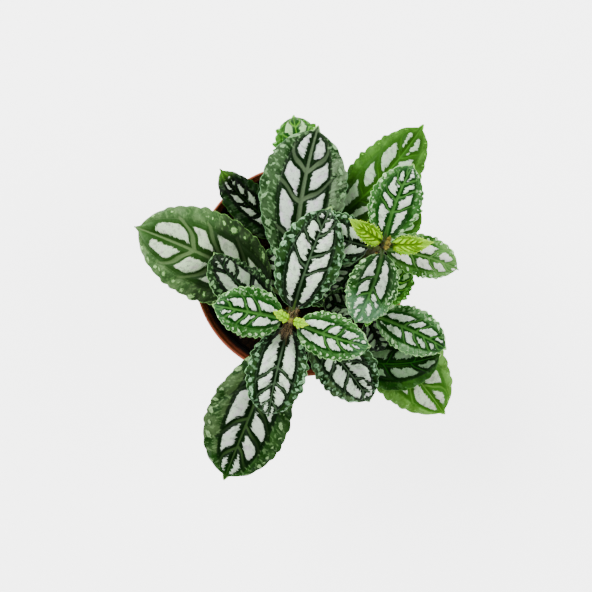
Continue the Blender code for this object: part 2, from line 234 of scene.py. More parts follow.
def ink(color):
    # A colour as the finished picture shows it, sRGB 0 to 255, as the paint that gives it there:
    # the picture's own curve flattens what is light and greys all a little.
    linear = [part / 255 / 12.92 if part <= 10 else ((part / 255 + 0.055) / 1.055) ** 2.4 for part in color]
    grey = 0.25 * linear[0] + 0.65 * linear[1] + 0.1 * linear[2]
    paint = []
    for part in linear:
        part = max(0.0006, grey + (part - grey) * 1.15 - 0.004)
        paint.append(min(0.9, part * (1 + 6 * max(0.0, part - 0.2) ** 2) / lightOnWhite))
    return (*paint, 1.0)


def dimmed(color, share):
    return [part * share for part in color]


def blended(first, firstShare, second, secondShare):
    return [one * firstShare + two * secondShare for one, two in zip(first, second)]


def newMaterial(name):
    material = bpy.data.materials.new(name)
    material.use_nodes = True
    return material, Wire(material.node_tree)


def dressed(material, color, roughness, specular, normal=None):
    # Gives the material what was worked out for it: wires are plugged in, numbers are set
    shader = material.node_tree.nodes["Principled BSDF"]
    finish = {"Base Color": color, "Roughness": roughness, "Specular IOR Level": specular, "Normal": normal}
    for name, value in finish.items():
        if isinstance(value, Wire):
            value.tree.links.new(value.socket, shader.inputs[name])
        elif value is not None:
            shader.inputs[name].default_value = value
    return material


# Stems, in mm

stems = {
    "tall": {"foot": (-1, -6, 66), "bend": (-4.5, -23, 112), "top": (-4.4, -23.8, 160), "radii": (2.4, 1.4)},
    "right": {"foot": (9, 0, 66), "bend": (34, 8, 112), "top": (39.6, 11.3, 158), "radii": (2.3, 1.3)},
    "low": {"foot": (13, -12, 66), "bend": (29, -20, 100), "top": (33, -21, 133), "radii": (2.1, 1.3)},
    "back": {"foot": (4, 13, 66), "bend": (6, 17, 90), "top": (7, 18, 115), "radii": (2.1, 1.4)},
    "front": {"foot": (17, -29, 66), "bend": (20, -38, 88), "top": (21, -42, 109), "radii": (1.9, 1.3)},
}

# Kinds of leaf: colours as the picture shows them, and widths in mm on a leaf of the usual width.
# What a kind doesn't say is as in everyLeaf.

everyLeaf = {
    "shade": (0.5, 0.4), "nerveHalf": 0.05, "veinBand": 1.0, "quilt": 1.1, "crimp": 0.6, "tooth": 0.045,
    "teeth": 1.2, "veinShade": 0.9, "marksAndGlints": 0.3, "tipEnd": 0.9, "coreReach": 0.3, "fray": 1.0,
}
leafKinds = {
    "fresh": {
        "deep": (26, 72, 24), "band": (72, 124, 58), "border": (20, 60, 22), "core": (92, 142, 76),
        "silver": (204, 219, 202), "ring": (196, 220, 188), "edge": (186, 210, 172),
        "sheen": (130, 164, 124), "pale": (116, 152, 122), "tip": (0.4, 0.75), "shade": (0.2, 0.4),
        "veins": (0.3, 0.48, 0.66, 0.82), "ribHalf": 1.15, "nerveHalf": 0.25, "veinHalf": 0.42,
        "ribBand": 1.75, "nerveBand": 1.25, "veinBand": 0.98, "dotSize": 0.85, "teeth": 1.5,
        "veinShade": 0.6, "tipEnd": 0.94, "coreReach": 0.65,
    },
    "grown": {
        "deep": (8, 30, 8), "band": (34, 70, 24), "border": (4, 30, 10), "core": (90, 114, 86),
        "silver": (202, 212, 200), "ring": (172, 196, 174), "edge": (168, 194, 164),
        "sheen": (100, 126, 88), "pale": (150, 178, 158), "tip": (0.3, 0.8), "shade": (0.5, 0.42),
        "veins": (0.32, 0.5, 0.68, 0.84), "ribHalf": 0.6, "nerveHalf": 0.25, "veinHalf": 0.32,
        "ribBand": 1.45, "nerveBand": 0.85, "veinBand": 0.76, "dotSize": 0.95, "marksAndGlints": 0.35,
        "tipEnd": 0.97, "coreReach": 0.55, "fray": 1.1,
    },
    # Dim: a darker copy of the grown kind, painted shade for leaves lying under others
    "dim": {
        "deep": (8, 26, 5), "band": (26, 58, 16), "border": (7, 20, 8), "core": (50, 76, 48),
        "silver": (164, 178, 160), "ring": (150, 176, 140), "edge": (160, 188, 148), "sheen": (80, 108, 68),
        "pale": (110, 140, 96), "tip": (0.2, 0.8), "shade": (0.6, 0.45), "veins": (0.28, 0.46, 0.66, 0.84),
        "ribHalf": 0.55, "nerveHalf": 0.32, "veinHalf": 0.24, "ribBand": 1.7, "nerveBand": 1.0,
        "veinBand": 0.9, "dotSize": 0.9, "marksAndGlints": 0.4,
    },
    # Dusky: darker greens and greyed silver, painted shade for a low leaf under others
    "dusky": {
        "deep": (18, 54, 10), "band": (54, 100, 38), "border": (6, 28, 4), "core": (44, 96, 34),
        "silver": (150, 172, 146), "ring": (110, 150, 96), "edge": (120, 164, 92), "sheen": (90, 142, 72),
        "pale": (100, 150, 80), "tip": (0.4, 0.8), "veins": (0.32, 0.62), "ribHalf": 0.6, "nerveHalf": 0.25,
        "veinHalf": 0.3, "ribBand": 2.2, "nerveBand": 1.3, "veinBand": 1.3, "dotSize": 0.5, "quilt": 1.0,
        "crimp": 0.4, "tooth": 0.03, "veinShade": 0.8, "marksAndGlints": 0.25, "fray": 0.8,
    },
    "old": {
        "deep": (24, 50, 18), "band": (52, 86, 44), "border": (6, 34, 8), "core": (108, 128, 98),
        "silver": (198, 204, 198), "ring": (168, 190, 160), "edge": (150, 180, 150),
        "sheen": (128, 148, 118), "pale": (150, 174, 150), "tip": (0.6, 0.92), "shade": (0.4, 0.45),
        "veins": (0.28, 0.5, 0.7, 0.86), "ribHalf": 1.15, "veinHalf": 0.55, "ribBand": 2.1,
        "nerveBand": 0.9, "veinBand": 1.08, "dotSize": 0.9, "quilt": 0.9, "crimp": 0.35, "tooth": 0.025,
        "marksAndGlints": 0.45, "tipEnd": 0.965, "coreReach": 0.6, "fray": 0.65,
    },
    "ripe": {
        "deep": (18, 46, 10), "band": (50, 86, 40), "border": (6, 30, 4), "core": (66, 90, 54),
        "silver": (192, 199, 190), "ring": (166, 186, 150), "edge": (96, 136, 70), "sheen": (104, 126, 88),
        "pale": (40, 92, 20), "tip": (0.8, 0.8), "veins": (0.28, 0.5, 0.7, 0.86), "ribHalf": 0.65,
        "veinHalf": 0.36, "ribBand": 1.7, "nerveBand": 0.65, "veinBand": 0.98, "dotSize": 0.85,
        "quilt": 0.9, "crimp": 0.3, "tooth": 0.022, "marksAndGlints": 0.25, "tipEnd": 0.985, "coreReach": 0.25,
        "fray": 0.65,
    },
    "pale": {
        "deep": (58, 92, 48), "band": (112, 144, 98), "border": (38, 72, 26), "core": (122, 146, 102),
        "silver": (197, 207, 191), "ring": (178, 200, 160), "edge": (154, 184, 126),
        "sheen": (126, 152, 106), "pale": (126, 162, 102), "tip": (0.45, 0.8), "shade": (1.3, 0.62),
        "veins": (0.24, 0.42, 0.6), "ribHalf": 0.8, "veinHalf": 0.55, "ribBand": 1.8, "nerveBand": 1.35,
        "veinBand": 1.1, "dotSize": 0.6, "quilt": 0.8, "crimp": 0.25, "tooth": 0.025, "veinShade": 0.6,
        "marksAndGlints": 0.15, "tipEnd": 0.85, "coreReach": 0.75, "fray": 0.45,
    },
    # Light: the leaf's own yellow-green, lightened further as painted light shining through the thin blade
    "light": {
        "deep": (92, 138, 60), "band": (136, 172, 98), "border": (60, 116, 34), "core": (130, 168, 92),
        "silver": (198, 206, 192), "ring": (164, 194, 132), "edge": (166, 200, 134),
        "sheen": (140, 176, 106), "pale": (104, 160, 50), "tip": (0.5, 0.8), "shade": (0.9, 0.42),
        "veins": (0.24, 0.42, 0.6), "ribHalf": 0.45, "veinHalf": 0.35, "ribBand": 1.4, "nerveBand": 1.0,
        "dotSize": 0.45, "quilt": 0.8, "crimp": 0.3, "tooth": 0.03, "veinShade": 0.7, "marksAndGlints": 0.15,
        "tipEnd": 0.93, "coreReach": 0.6, "fray": 0.5,
    },
    # Bright: the leaf's own yellow-green, lightened further as painted light shining through the thin blade
    "bright": {
        "deep": (62, 104, 42), "band": (94, 142, 68), "border": (48, 90, 22), "core": (82, 140, 54),
        "silver": (186, 199, 182), "ring": (150, 192, 104), "edge": (150, 200, 90), "sheen": (114, 162, 84),
        "pale": (114, 164, 78), "tip": (0.4, 0.8), "shade": (0.9, 0.45), "veins": (0.3, 0.5, 0.72),
        "ribHalf": 0.5, "nerveHalf": 0.15, "veinHalf": 0.18, "ribBand": 1.6, "nerveBand": 1.3,
        "veinBand": 1.2, "dotSize": 0.4, "quilt": 0.8, "crimp": 0.3, "tooth": 0.04, "veinShade": 0.5,
        "marksAndGlints": 0.1, "coreReach": 0.4, "fray": 0.6,
    },
    "lush": {
        "deep": (26, 82, 6), "band": (70, 122, 40), "border": (22, 70, 8), "core": (118, 166, 76),
        "silver": (172, 194, 158), "ring": (160, 200, 130), "edge": (172, 206, 138),
        "sheen": (120, 172, 84), "pale": (120, 172, 84), "tip": (0.3, 0.8),
        "veins": (0.26, 0.44, 0.62, 0.8), "ribHalf": 0.8, "nerveHalf": 0.3, "veinHalf": 0.4, "ribBand": 2.0,
        "nerveBand": 1.2, "veinBand": 1.2, "dotSize": 0.8, "quilt": 1.3, "crimp": 0.8, "tooth": 0.08,
        "teeth": 1.3, "veinShade": 0.6, "coreReach": 0.7,
    },
    # Shaded: near-black greens and grey silver, painted shade for a leaf deep in the plant
    "shaded": {
        "deep": (6, 18, 5), "band": (22, 48, 14), "border": (4, 12, 4), "core": (30, 52, 24),
        "silver": (170, 180, 166), "ring": (104, 130, 96), "edge": (70, 104, 54), "sheen": (46, 76, 38),
        "pale": (112, 160, 72), "tip": (0.9, 0.8), "shade": (0.7, 0.5), "veins": (0.26, 0.44, 0.62, 0.8),
        "ribHalf": 0.45, "nerveHalf": 0.25, "veinHalf": 0.22, "ribBand": 1.8, "nerveBand": 1.4,
        "dotSize": 0.8, "quilt": 0.9, "crimp": 0.5, "tooth": 0.04, "tipEnd": 0.88,
    },
    # Young: the pale bulges between the veins are painted highlight and the dark veins painted shade, over
    # the leaf's own yellow-green
    "young": {
        "deep": (88, 130, 16), "band": (138, 178, 34), "border": (104, 146, 22), "core": (112, 154, 22),
        "silver": (178, 204, 74), "ring": (190, 214, 84), "edge": (196, 220, 104), "sheen": (168, 198, 62),
        "pale": (190, 212, 96), "tip": (0.45, 0.6), "shade": (0.0, 0.3),
        "veins": (0.16, 0.3, 0.44, 0.58, 0.72), "ribHalf": 0.9, "veinHalf": 0.65, "ribBand": 1.5,
        "nerveBand": -0.6, "veinBand": 1.15, "dotSize": 0.0, "quilt": 2.2, "crimp": 1.4, "tooth": 0.15,
        "teeth": 2.3, "veinShade": 0.3, "marksAndGlints": 0.0, "coreReach": 1.0, "fray": 0.25,
    },
    "sprout": {
        "deep": (138, 174, 8), "band": (166, 196, 8), "border": (140, 176, 18), "core": (146, 182, 18),
        "silver": (180, 206, 16), "ring": (206, 226, 90), "edge": (200, 220, 76), "sheen": (186, 210, 44),
        "pale": (190, 214, 38), "tip": (0.5, 0.5), "shade": (0.0, 0.3), "veins": (0.24, 0.44, 0.64),
        "ribHalf": 0.7, "veinHalf": 0.3, "ribBand": 1.3, "nerveBand": -0.6, "dotSize": 0.0, "quilt": 1.6,
        "tooth": 0.24, "teeth": 0.6, "veinShade": 0.15, "marksAndGlints": 0.0, "coreReach": 1.0, "fray": 0.2,
    },
}

leafKinds["mild"] = {
    **leafKinds["fresh"], "band": (86, 136, 60), "sheen": (146, 178, 118), "pale": (146, 180, 122),
    "border": (46, 92, 32), "core": (122, 156, 98), "deep": (34, 84, 22), "silver": (210, 224, 206),
}
leafKinds = {kind: {**everyLeaf, **look} for kind, look in leafKinds.items()}

# Leaves: where each grows, in mm and degrees, what kind it is, and for those in full view where
# the veins of its left and right half leave the midrib, as shares of the blade.

leaves = {}


def leafOf(stem, height, length, width, heading, rise, dip, kind, **rest):
    # Tip and shade: how strong the pale tip, partly painted light and sheen, and the painted shade on
    # the base are, and where along the blade they begin and end. Sheen: how strong the painted sheen
    # is on the outer band of the left and right half. Dull: how far painted shade has greyed the silver
    # of the left and right half towards green. Nerve: where the side nerves run, of the half width.
    leaf = {"turn": 0, "widest": 0.5, "roll": 0, "stalk": 0.10, "shoulder": 0.60, "veins": None,
            "sheen": (0.25, 0.25), "dull": (0, 0), "nerve": (0.67, 0.67),
            "tip": leafKinds[kind]["tip"], "shade": leafKinds[kind]["shade"]}
    leaf.update(stem=stem, height=height, length=length, width=width, heading=heading, rise=rise, dip=dip)
    leaf.update(kind=kind, **rest)
    return leaf


def addLeaf(key, *shape, **rest):
    # Its key begins with its stem
    leaves[key] = leafOf(key.split("_")[0], *shape, **rest)


addLeaf("tall_1_west", 153, 35, 23, 169, 22, -5, "fresh", turn=2, widest=0.48, stalk=0.05,
        veins=((0.34, 0.50, 0.68, 0.84), (0.32, 0.50, 0.73)), tip=(0.35, 0.72))
addLeaf("tall_1_east", 153, 37, 21, -18, 24, -10, "fresh", turn=14, widest=0.46, stalk=0.05,
        veins=((0.34, 0.52, 0.72), (0.36, 0.54, 0.72, 0.85)), tip=(0.45, 0.66))
addLeaf("tall_2_north", 141, 54, 30, 70, 30, -14, "grown", turn=-12, stalk=0.05,
        veins=((0.41, 0.59, 0.79, 0.92), (0.34, 0.50, 0.71, 0.85)), tip=(0.5, 0.86))
addLeaf("tall_2_south", 141, 47, 28, -103, 22, -25, "grown", turn=8, stalk=0.05,
        veins=((0.44, 0.59, 0.79), (0.43, 0.61, 0.78, 0.90)), tip=(0.35, 0.86))
addLeaf("tall_3_west", 126, 47, 26, 140, 24, -19, "dim", turn=-45, widest=0.55, roll=-36,
        veins=((0.38, 0.68), (0.35, 0.60, 0.80)), dull=(-0.3, 0.4))
addLeaf("tall_3_east", 126, 56, 28, -49, 22, -30, "grown", turn=-20, widest=0.58,
        veins=((0.30, 0.50, 0.70, 0.84), (0.28, 0.42, 0.62, 0.86)), tip=(0.1, 0.85), sheen=(0.2, 0.8))
addLeaf("tall_4_north", 110, 89, 41, 82, 34, -16, "old", turn=-17, widest=0.64,
        veins=((0.26, 0.53, 0.71), (0.28, 0.54, 0.71)), sheen=(0.3, 1.0), nerve=(0.60, 0.64))
addLeaf("tall_4_south", 110, 89, 40, -112, 30, -20, "ripe", widest=0.62, stalk=0.14,
        veins=((0.26, 0.46, 0.62, 0.76), (0.30, 0.57, 0.77)), sheen=(0.2, 0.6), nerve=(0.62, 0.55))
addLeaf("tall_5_west", 96, 87, 44, 155, 32, -18, "pale", turn=10, stalk=0.14,
        veins=((0.20, 0.37, 0.57), (0.20, 0.385, 0.56)), sheen=(0.6, 0.4))
addLeaf("right_1_west", 155, 22, 8.8, 147, 45, 13, "young", turn=-15, stalk=0.04, widest=0.38, shoulder=0.9)
addLeaf("right_1_east", 155, 22, 8.5, 2, 45, 15, "young", turn=20, stalk=0.04, widest=0.38, shoulder=0.9)
addLeaf("right_2_north", 148, 39, 24, 70, 34, -7, "fresh", turn=-20, stalk=0.05,
        veins=((0.34, 0.50, 0.69, 0.85), (0.36, 0.55, 0.73)), tip=(0.45, 0.80))
addLeaf("right_2_south", 148, 38, 23, -111, 26, -31, "fresh", turn=-20, widest=0.48, stalk=0.05,
        veins=((0.47, 0.60, 0.77), (0.30, 0.53, 0.73)), tip=(0.8, 0.52), shade=(0.65, 0.72))
addLeaf("right_3_west", 136, 34, 24, 162, 26, -26, "grown", turn=-10, stalk=0.05)
addLeaf("right_3_east", 136, 39, 20, -15, 26, -26, "mild", turn=-22, stalk=0.05,
        veins=((0.34, 0.57, 0.81), (0.32, 0.55, 0.75)), tip=(0.5, 0.5), sheen=(0.9, 0.4))
addLeaf("right_4_north", 120, 33, 15, 38, 40, 10, "bright", turn=5, widest=0.55)
addLeaf("right_4_south", 120, 24, 20, -127, 16, -30, "dim", turn=10, widest=0.55, shade=(0.0, 0.3),
        dull=(0.8, 0.8))
addLeaf("low_1_east", 128, 40, 22, -25, 24, -29, "fresh", turn=-12, stalk=0.05,
        veins=((0.36, 0.53, 0.72), (0.34, 0.49, 0.64, 0.81)), tip=(0.3, 0.8), shade=(0.0, 0.4),
        sheen=(0.5, 0.9), dull=(0.3, 0.6))
addLeaf("low_1_west", 128, 21, 17, 164, 18, -30, "dim", widest=0.55, shade=(0.0, 0.3), dull=(0.6, 0.6))
addLeaf("low_2_north", 119, 30, 17, 48, 32, -16, "lush", turn=20, widest=0.55)
addLeaf("low_2_south", 119, 20, 17, -65, 16, -40, "dim", widest=0.55, shade=(0.9, 0.8), dull=(0.6, 0.6))
addLeaf("low_3_east", 95, 71, 37, -49, 30, -26, "light", turn=-10, widest=0.48, stalk=0.14,
        veins=((0.20, 0.35, 0.50, 0.69), (0.22, 0.39, 0.56)), sheen=(0.7, 0.7))
addLeaf("low_3_west", 95, 26, 18, 150, 20, -18, "dim", widest=0.55, stalk=0.14)
addLeaf("back_1_north", 108, 65, 24, 100, 38, -56, "lush", widest=0.62, stalk=0.12)
addLeaf("back_1_south", 108, 34, 22, -84, 14, -24, "dim", widest=0.55, stalk=0.12, dull=(0.6, 0.6))
addLeaf("back_2_east", 98, 76, 31, 45, 30, -8, "bright", turn=25, widest=0.5, stalk=0.14,
        veins=((0.30, 0.47, 0.70), (0.26, 0.50, 0.70)))
addLeaf("back_2_west", 98, 34, 21, -136, 18, -32, "dim", widest=0.55, stalk=0.14)
addLeaf("back_3_west", 90, 58, 21, 143, 34, -6, "shaded", turn=-45, widest=0.47, stalk=0.14,
        veins=((0.22, 0.38, 0.54, 0.70), (0.26, 0.42, 0.58, 0.74)), nerve=(0.56, 0.56))
addLeaf("back_3_east", 90, 24, 15, -82, 26, -16, "dim", widest=0.55, stalk=0.14, dull=(0.5, 0.5))
addLeaf("front_1_east", 104, 48, 26, 1, 24, -20, "dusky", turn=42, widest=0.47, stalk=0.12,
        veins=((0.34, 0.66), (0.30, 0.62)), dull=(0.1, 0.1))
addLeaf("front_1_west", 104, 22, 15, 150, 18, -30, "dim", widest=0.55, stalk=0.12, dull=(0.5, 0.5))

blade = {
    "thickness": 0.5,            # mm
    "cell": 0.5,                 # mm between points of the mesh
    "usualWidth": 28.0,          # the width of leaf that the kinds' widths are for
    "unmarked": -9.0,            # the depth where there is no patch or dot
    "fold": 0.33, "droop": 0.40, "wave": 0.02, "waveTurns": 2.2, "rollEnd": 0.65,
    "leastTeeth": 6, "lengthPerTooth": 17, "toothCrowding": 0.92, "crest": 0.68,
    "bodyEnd": 0.965, "pointStart": 0.90, "pointWidth": 0.20,
    "veinReach": 0.27,           # how far forward a vein gets by the margin, as a share of the blade
    "veinCurve": 1.25, "veinBend": 0.010,
    "patchCorner": 0.30,         # how round a patch's corners are
    "dots": ((0.6, 1.0, 0.85), (0.1, 0.55, 0.4)),           # place on the tooth, size, chance
    "dotOut": (0.78, 0.93), "dotSpan": (0.1, 0.93),         # across and along the blade
    "quiltWidth": 1.4, "patchRaise": 0.12, "dotRaise": 0.25, "crimpStart": 0.70, "sink": 0.4,
    "tipLength": 0.22, "shadeLength": 0.3, "slant": 0.45,
    "stalkWidth": 2.0, "stalkShare": 0.16, "gap": 0.35, "rootDepth": 1.1,
    "keelEnd": 0.8, "keelSteps": 22, "keelSides": 10, "keelFlatness": 0.8,
    "nodeSwelling": 0.18, "nodeReach": 2.2,
}


bladeFields = ("silverDepth", "dotDepth", "veinGap", "marginGap", "band", "sheen", "dull", "tipLightShare",
               "baseShade")


def leafMaterial(name, look):
    # The mesh carries, in mm: how deep a point lies in a silver patch or dot, how far it is from a
    # vein and from the margin, and its place on the blade laid flat. Noise frays the patches.
    material, start = newMaterial(name)
    fields = [start.field(field) for field in bladeFields]
    silverDepth, dotDepth, veinGap, marginGap, band, sheen, dull, tipLightShare, baseShade = fields
    flat = start.fieldVector("flatPlace")

    def tone(part, share=1):
        return ink(dimmed(look[part], share))

    fine = flat.noise(1.5, 2.0) - 0.5
    notches = flat.stretched(0.30, 1.0, 1.0).noise(0.60, 3.0, 0.6) - 0.5
    nearRib = 1.0 - abs(flat.part(0)).smooth(2.0, 7.5)
    cloud = flat.noise(0.15, 2.0)
    grain = flat.noise(1.2, 4.0, 0.7)
    frayed = notches * (1.5 + nearRib * 3.4) + fine
    patch = (silverDepth + frayed * look["fray"] - 0.1).smooth(-0.12, 0.30)

    # The mottled green with its painted sheen, the dark border of the patches, and the veins
    tissue = (cloud * 0.7 + grain * 0.45).smooth(0.40, 0.72)
    inner = (tissue * 0.5 + 0.05).between(tone("deep"), tone("band"))
    outer = (tissue * 0.75 + 0.2).between(tone("deep"), tone("band"))
    green = band.between(inner, outer)
    glow = (sheen * (cloud + fine * 0.4).smooth(0.34, 0.56)).smooth(0.0, 1.0)
    green = (glow * 0.85).between(green, tone("sheen"))
    # Dark patch borders and veins: the leaf's own dark green deepened by painted shade in the sunken grooves
    border = silverDepth.smooth(-1.6, -0.2) * (1.0 - band * 0.6)
    green = (border * 0.75).between(green, tone("border"))
    veinDark = (1.0 - (veinGap + fine * 0.4).smooth(0.15, 0.80)) * look["veinShade"]
    green = veinDark.between(green, tone("border"))
    coreShare = look["coreReach"] + nearRib * (1 - look["coreReach"])
    core = (1.0 - (veinGap + fine * 0.35).smooth(-0.22, 0.20)) * coreShare
    green = (core * (0.45 + grain * 0.7)).between(green, tone("core"))

    # The pale tip, partly the leaf's own and partly painted light and sheen; the painted shade on the base;
    # the marks and dots of the outer band, partly painted glints; and the light margin
    pale = (tipLightShare * (0.55 + grain * 0.9) + fine * tipLightShare * 0.5).smooth(0.0, 1.0)
    green = (pale * (1.0 - veinDark * 0.55)).between(green, tone("pale"))
    # Painted shade darkens the base of the blade, and its silver too
    shade = (baseShade + (cloud - 0.5) * baseShade * 0.8).smooth(0.0, 1.0)
    green = (shade * 0.8).between(green, tone("deep", 0.28))
    # Pale marks on the outer band: the leaf's own pale spots with painted glints of the crinkled margin
    speckle = flat.stretched(0.8, 1.0, 1.0).noise(0.55, 1.5)
    marksAndGlints = (speckle + fine * 0.15).smooth(0.54, 0.64) * band * look["marksAndGlints"]
    green = (marksAndGlints * 0.75).between(green, tone("ring"))
    halo = dotDepth.smooth(-0.9, -0.15) * band
    green = (halo * 0.35).between(green, tone("deep"))
    # Each dot: a pale mark with a painted highlight round its rim and a darker heart
    dot = (dotDepth + fine * 1.2 + notches * 0.6).smooth(-0.12, 0.28)
    dotHeart = (dotDepth + fine * 0.8).smooth(0.35, 0.75)
    green = (dot * 0.75).between(green, (dotHeart * 0.65).between(tone("ring"), tone("sheen")))
    edge = 1.0 - (marginGap + fine * 0.5 + notches * 0.5).smooth(0.10, 0.30)
    green = (edge * 0.8).between(green, tone("edge"))

    # The silver: worn and clouded, greyed towards green by painted shade where it is dull, a little
    # rosy in places, and darker in the painted shade of the base
    pits = flat.noise(2.4, 1.0).smooth(0.58, 0.72)
    clouded = flat.noise(0.42, 2.0).smooth(0.50, 0.66)
    blush = flat.noise(0.30, 1.0).smooth(0.50, 0.68)
    worn = (grain * 0.5 + pits * 0.4 + clouded * 0.35).smooth(0.1, 1.0)
    silver = worn.between(tone("silver"), tone("silver", 0.74))
    # Painted shade: the silver of leaves lying under others greyed towards green
    dullTone = ink(blended(look["sheen"], 0.6, look["silver"], 0.3))
    silver = (dull * (clouded * 0.5 + 0.6)).between(silver, dullTone)
    rosy = [part * share for part, share in zip(look["silver"], (1.03, 0.95, 1.04))]
    silver = (blush * 0.4).between(silver, ink(rosy))
    silver = (shade * 0.55).between(silver, tone("silver", 0.5))
    height = patch * 0.5 + grain * 0.5 + fine * 0.3
    roughness = 0.42 + patch * 0.16 + grain * 0.06
    return dressed(material, patch.between(green, silver), roughness, 0.05, height.bumped(0.0003, 0.8))


def undersideMaterial(name, look):
    material, start = newMaterial(name)
    grain = start.fieldVector("flatPlace").noise(0.5, 4.0)
    rib = 1.0 - start.field("veinGap").smooth(0.0, 0.6)
    light = blended(look["band"], 0.5, (168, 190, 140), 0.5)
    body = grain.between(ink(dimmed(light, 0.8)), ink(light))
    color = (rib * 0.6).between(body, ink((176, 198, 142)))
    return dressed(material, color, 0.55 + grain * 0.1, 0.3, (grain * 0.6 + rib).bumped(0.0004, 0.6))


def stalkMaterial():
    material, start = newMaterial("leafStalk")
    streak = start.ownPlace().noise(700.0, 3.0)
    return dressed(material, streak.between(ink((38, 64, 22)), ink((88, 114, 54))), 0.45 + streak * 0.1, 0.3)


leafSkins = {kind: leafMaterial("leaf" + kind.title(), look) for kind, look in leafKinds.items()}
leafBacks = {kind: undersideMaterial("leafBack" + kind.title(), look) for kind, look in leafKinds.items()}
stalkSkin = stalkMaterial()
print("leaf materials made")


# The blade: a flat grid is laid along the midrib, cut to the outline and quilted between the veins.

def stemPoint(name, fraction):
    stem = stems[name]
    foot, bend, top = (np.array(stem[key], float) for key in ("foot", "bend", "top"))
    rest = 1 - fraction
    return foot * rest ** 2 + bend * (2 * rest * fraction) + top * fraction ** 2


def stemFraction(name, height):
    low, high = 0.0, 1.0
    for _ in range(40):
        middle = (low + high) / 2
        if stemPoint(name, middle)[2] < height:
            low = middle
        else:
            high = middle
    return (low + high) / 2


def nodeHeights(name):
    return sorted({leaf["height"] for leaf in leaves.values() if leaf["stem"] == name})


def stemRadius(name, fraction):
    lower, upper = stems[name]["radii"]
    height = stemPoint(name, fraction)[2]
    swelling = max(math.exp(-((height - node) / blade["nodeReach"]) ** 2) for node in nodeHeights(name))
    return (lower + (upper - lower) * fraction) * (1 + blade["nodeSwelling"] * swelling)


def levelDirection(degrees):
    return np.array([math.cos(math.radians(degrees)), math.sin(math.radians(degrees)), 0.0])


def leafStart(leaf):
    fraction = stemFraction(leaf["stem"], leaf["height"])
    out = levelDirection(leaf["heading"] - leaf["turn"] / 2)
    return stemPoint(leaf["stem"], fraction) + out * (stemRadius(leaf["stem"], fraction) + blade["gap"])


def midribDirection(leaf, fraction):
    fraction = np.asarray(fraction, float)
    slope = np.radians(leaf["rise"] + (leaf["dip"] - leaf["rise"]) * fraction)
    heading = np.radians(leaf["heading"] + leaf["turn"] * (fraction - 0.5))
    level = np.cos(slope)
    return np.stack([level * np.cos(heading), level * np.sin(heading), np.sin(slope)], axis=-1)


def midribLine(leaf, start, steps=60):
    middles = (np.arange(steps) + 0.5) / steps
    walk = midribDirection(leaf, middles) * leaf["length"] / steps
    return np.vstack([start, start + np.cumsum(walk, axis=0)])


def bladeLength(leaf):
    return leaf["length"] * (1 - leaf["stalk"])


def bladeShare(leaf, fraction):
    # How far along the blade a place on the whole leaf lies
    return np.clip((fraction - leaf["stalk"]) / (1 - leaf["stalk"]), 0, 1)


def leafFrame(leaf, line, fraction):
    places = np.linspace(0, 1, len(line))
    point = np.stack([np.interp(fraction, places, line[:, axis]) for axis in range(3)], axis=-1)
    along = midribDirection(leaf, fraction)
    side = unit(np.cross(along, (0.0, 0.0, 1.0)))
    up = np.cross(side, along)
    rolled = np.minimum(1.0, bladeShare(leaf, fraction) / blade["rollEnd"])
    roll = np.radians(leaf["roll"]) * rolled[..., None]
    return point, side * np.cos(roll) + up * np.sin(roll), up * np.cos(roll) - side * np.sin(roll)


def stalkRadius(leaf):
    return min(blade["stalkWidth"] / 2, blade["stalkShare"] * leaf["width"])


def halfWidth(leaf, along):
    widest = leaf["widest"]
    base = leaf["shoulder"] * widest / (1 - widest)
    place = np.clip(along / blade["bodyEnd"], 0, 1)
    body = (place / widest) ** base * ((1 - place) / (1 - widest)) ** leaf["shoulder"]
    point = blade["pointWidth"] * (1 - along) / (1 - blade["pointStart"])
    body = np.where(along > blade["pointStart"], np.maximum(body, point), body)
    return leaf["width"] / 2 * body


def toothCount(leaf):
    count = blade["leastTeeth"] + leaf["length"] / blade["lengthPerTooth"]
    return round(count * leafKinds[leaf["kind"]]["teeth"])


def toothShare(leaf, along, across, seed):
    # The margin's teeth: 0 in the notches and 1 at the crests, which lean towards the tip
    count = toothCount(leaf)
    phase = np.clip(along, 0, 1) ** (1 / blade["toothCrowding"]) * count
    phase = phase + 0.12 * np.sin(phase * 1.7 + seed * 1.3 + np.where(across < 0, 0.0, 2.1))
    number = np.floor(phase)
    phase = phase - number
    crest = blade["crest"]
    rising = np.sin(np.clip(phase / crest, 0, 1) * math.pi / 2)
    falling = np.cos(np.clip((phase - crest) / (1 - crest), 0, 1) * math.pi / 2)
    strength = 0.8 + 0.35 * np.sin(number * 2.3 + seed * 1.7 + np.where(across < 0, 0.0, 1.4))
    return np.where(phase < crest, rising, falling) * strength


def eased(values):
    values = np.clip(values, 0, 1)
    return values ** 2 * (3 - 2 * values)


def smoothLeast(values, softness):
    total = sum(np.exp(-np.clip(value / softness, -60, 60)) for value in values)
    return -softness * np.log(total)


def lookAndSize(leaf):
    return leafKinds[leaf["kind"]], leaf["width"] / blade["usualWidth"]


def veinDistance(leaf, place, along, far, wide, draw):
    # How far in front of a side vein each point lies; the vein bends forward from the midrib
    reach, curve = blade["veinReach"] * draw.uniform(0.82, 1.25), blade["veinCurve"]
    bend = blade["veinBend"] * np.sin(far * 11 + draw.uniform(0, 6.3))
    forward = along - place - reach * far ** curve - bend * np.minimum(1, far * 4)
    slant = reach * curve * np.maximum(far, 0.02) ** (curve - 1) / wide
    return forward / np.sqrt(1 / bladeLength(leaf) ** 2 + slant ** 2)


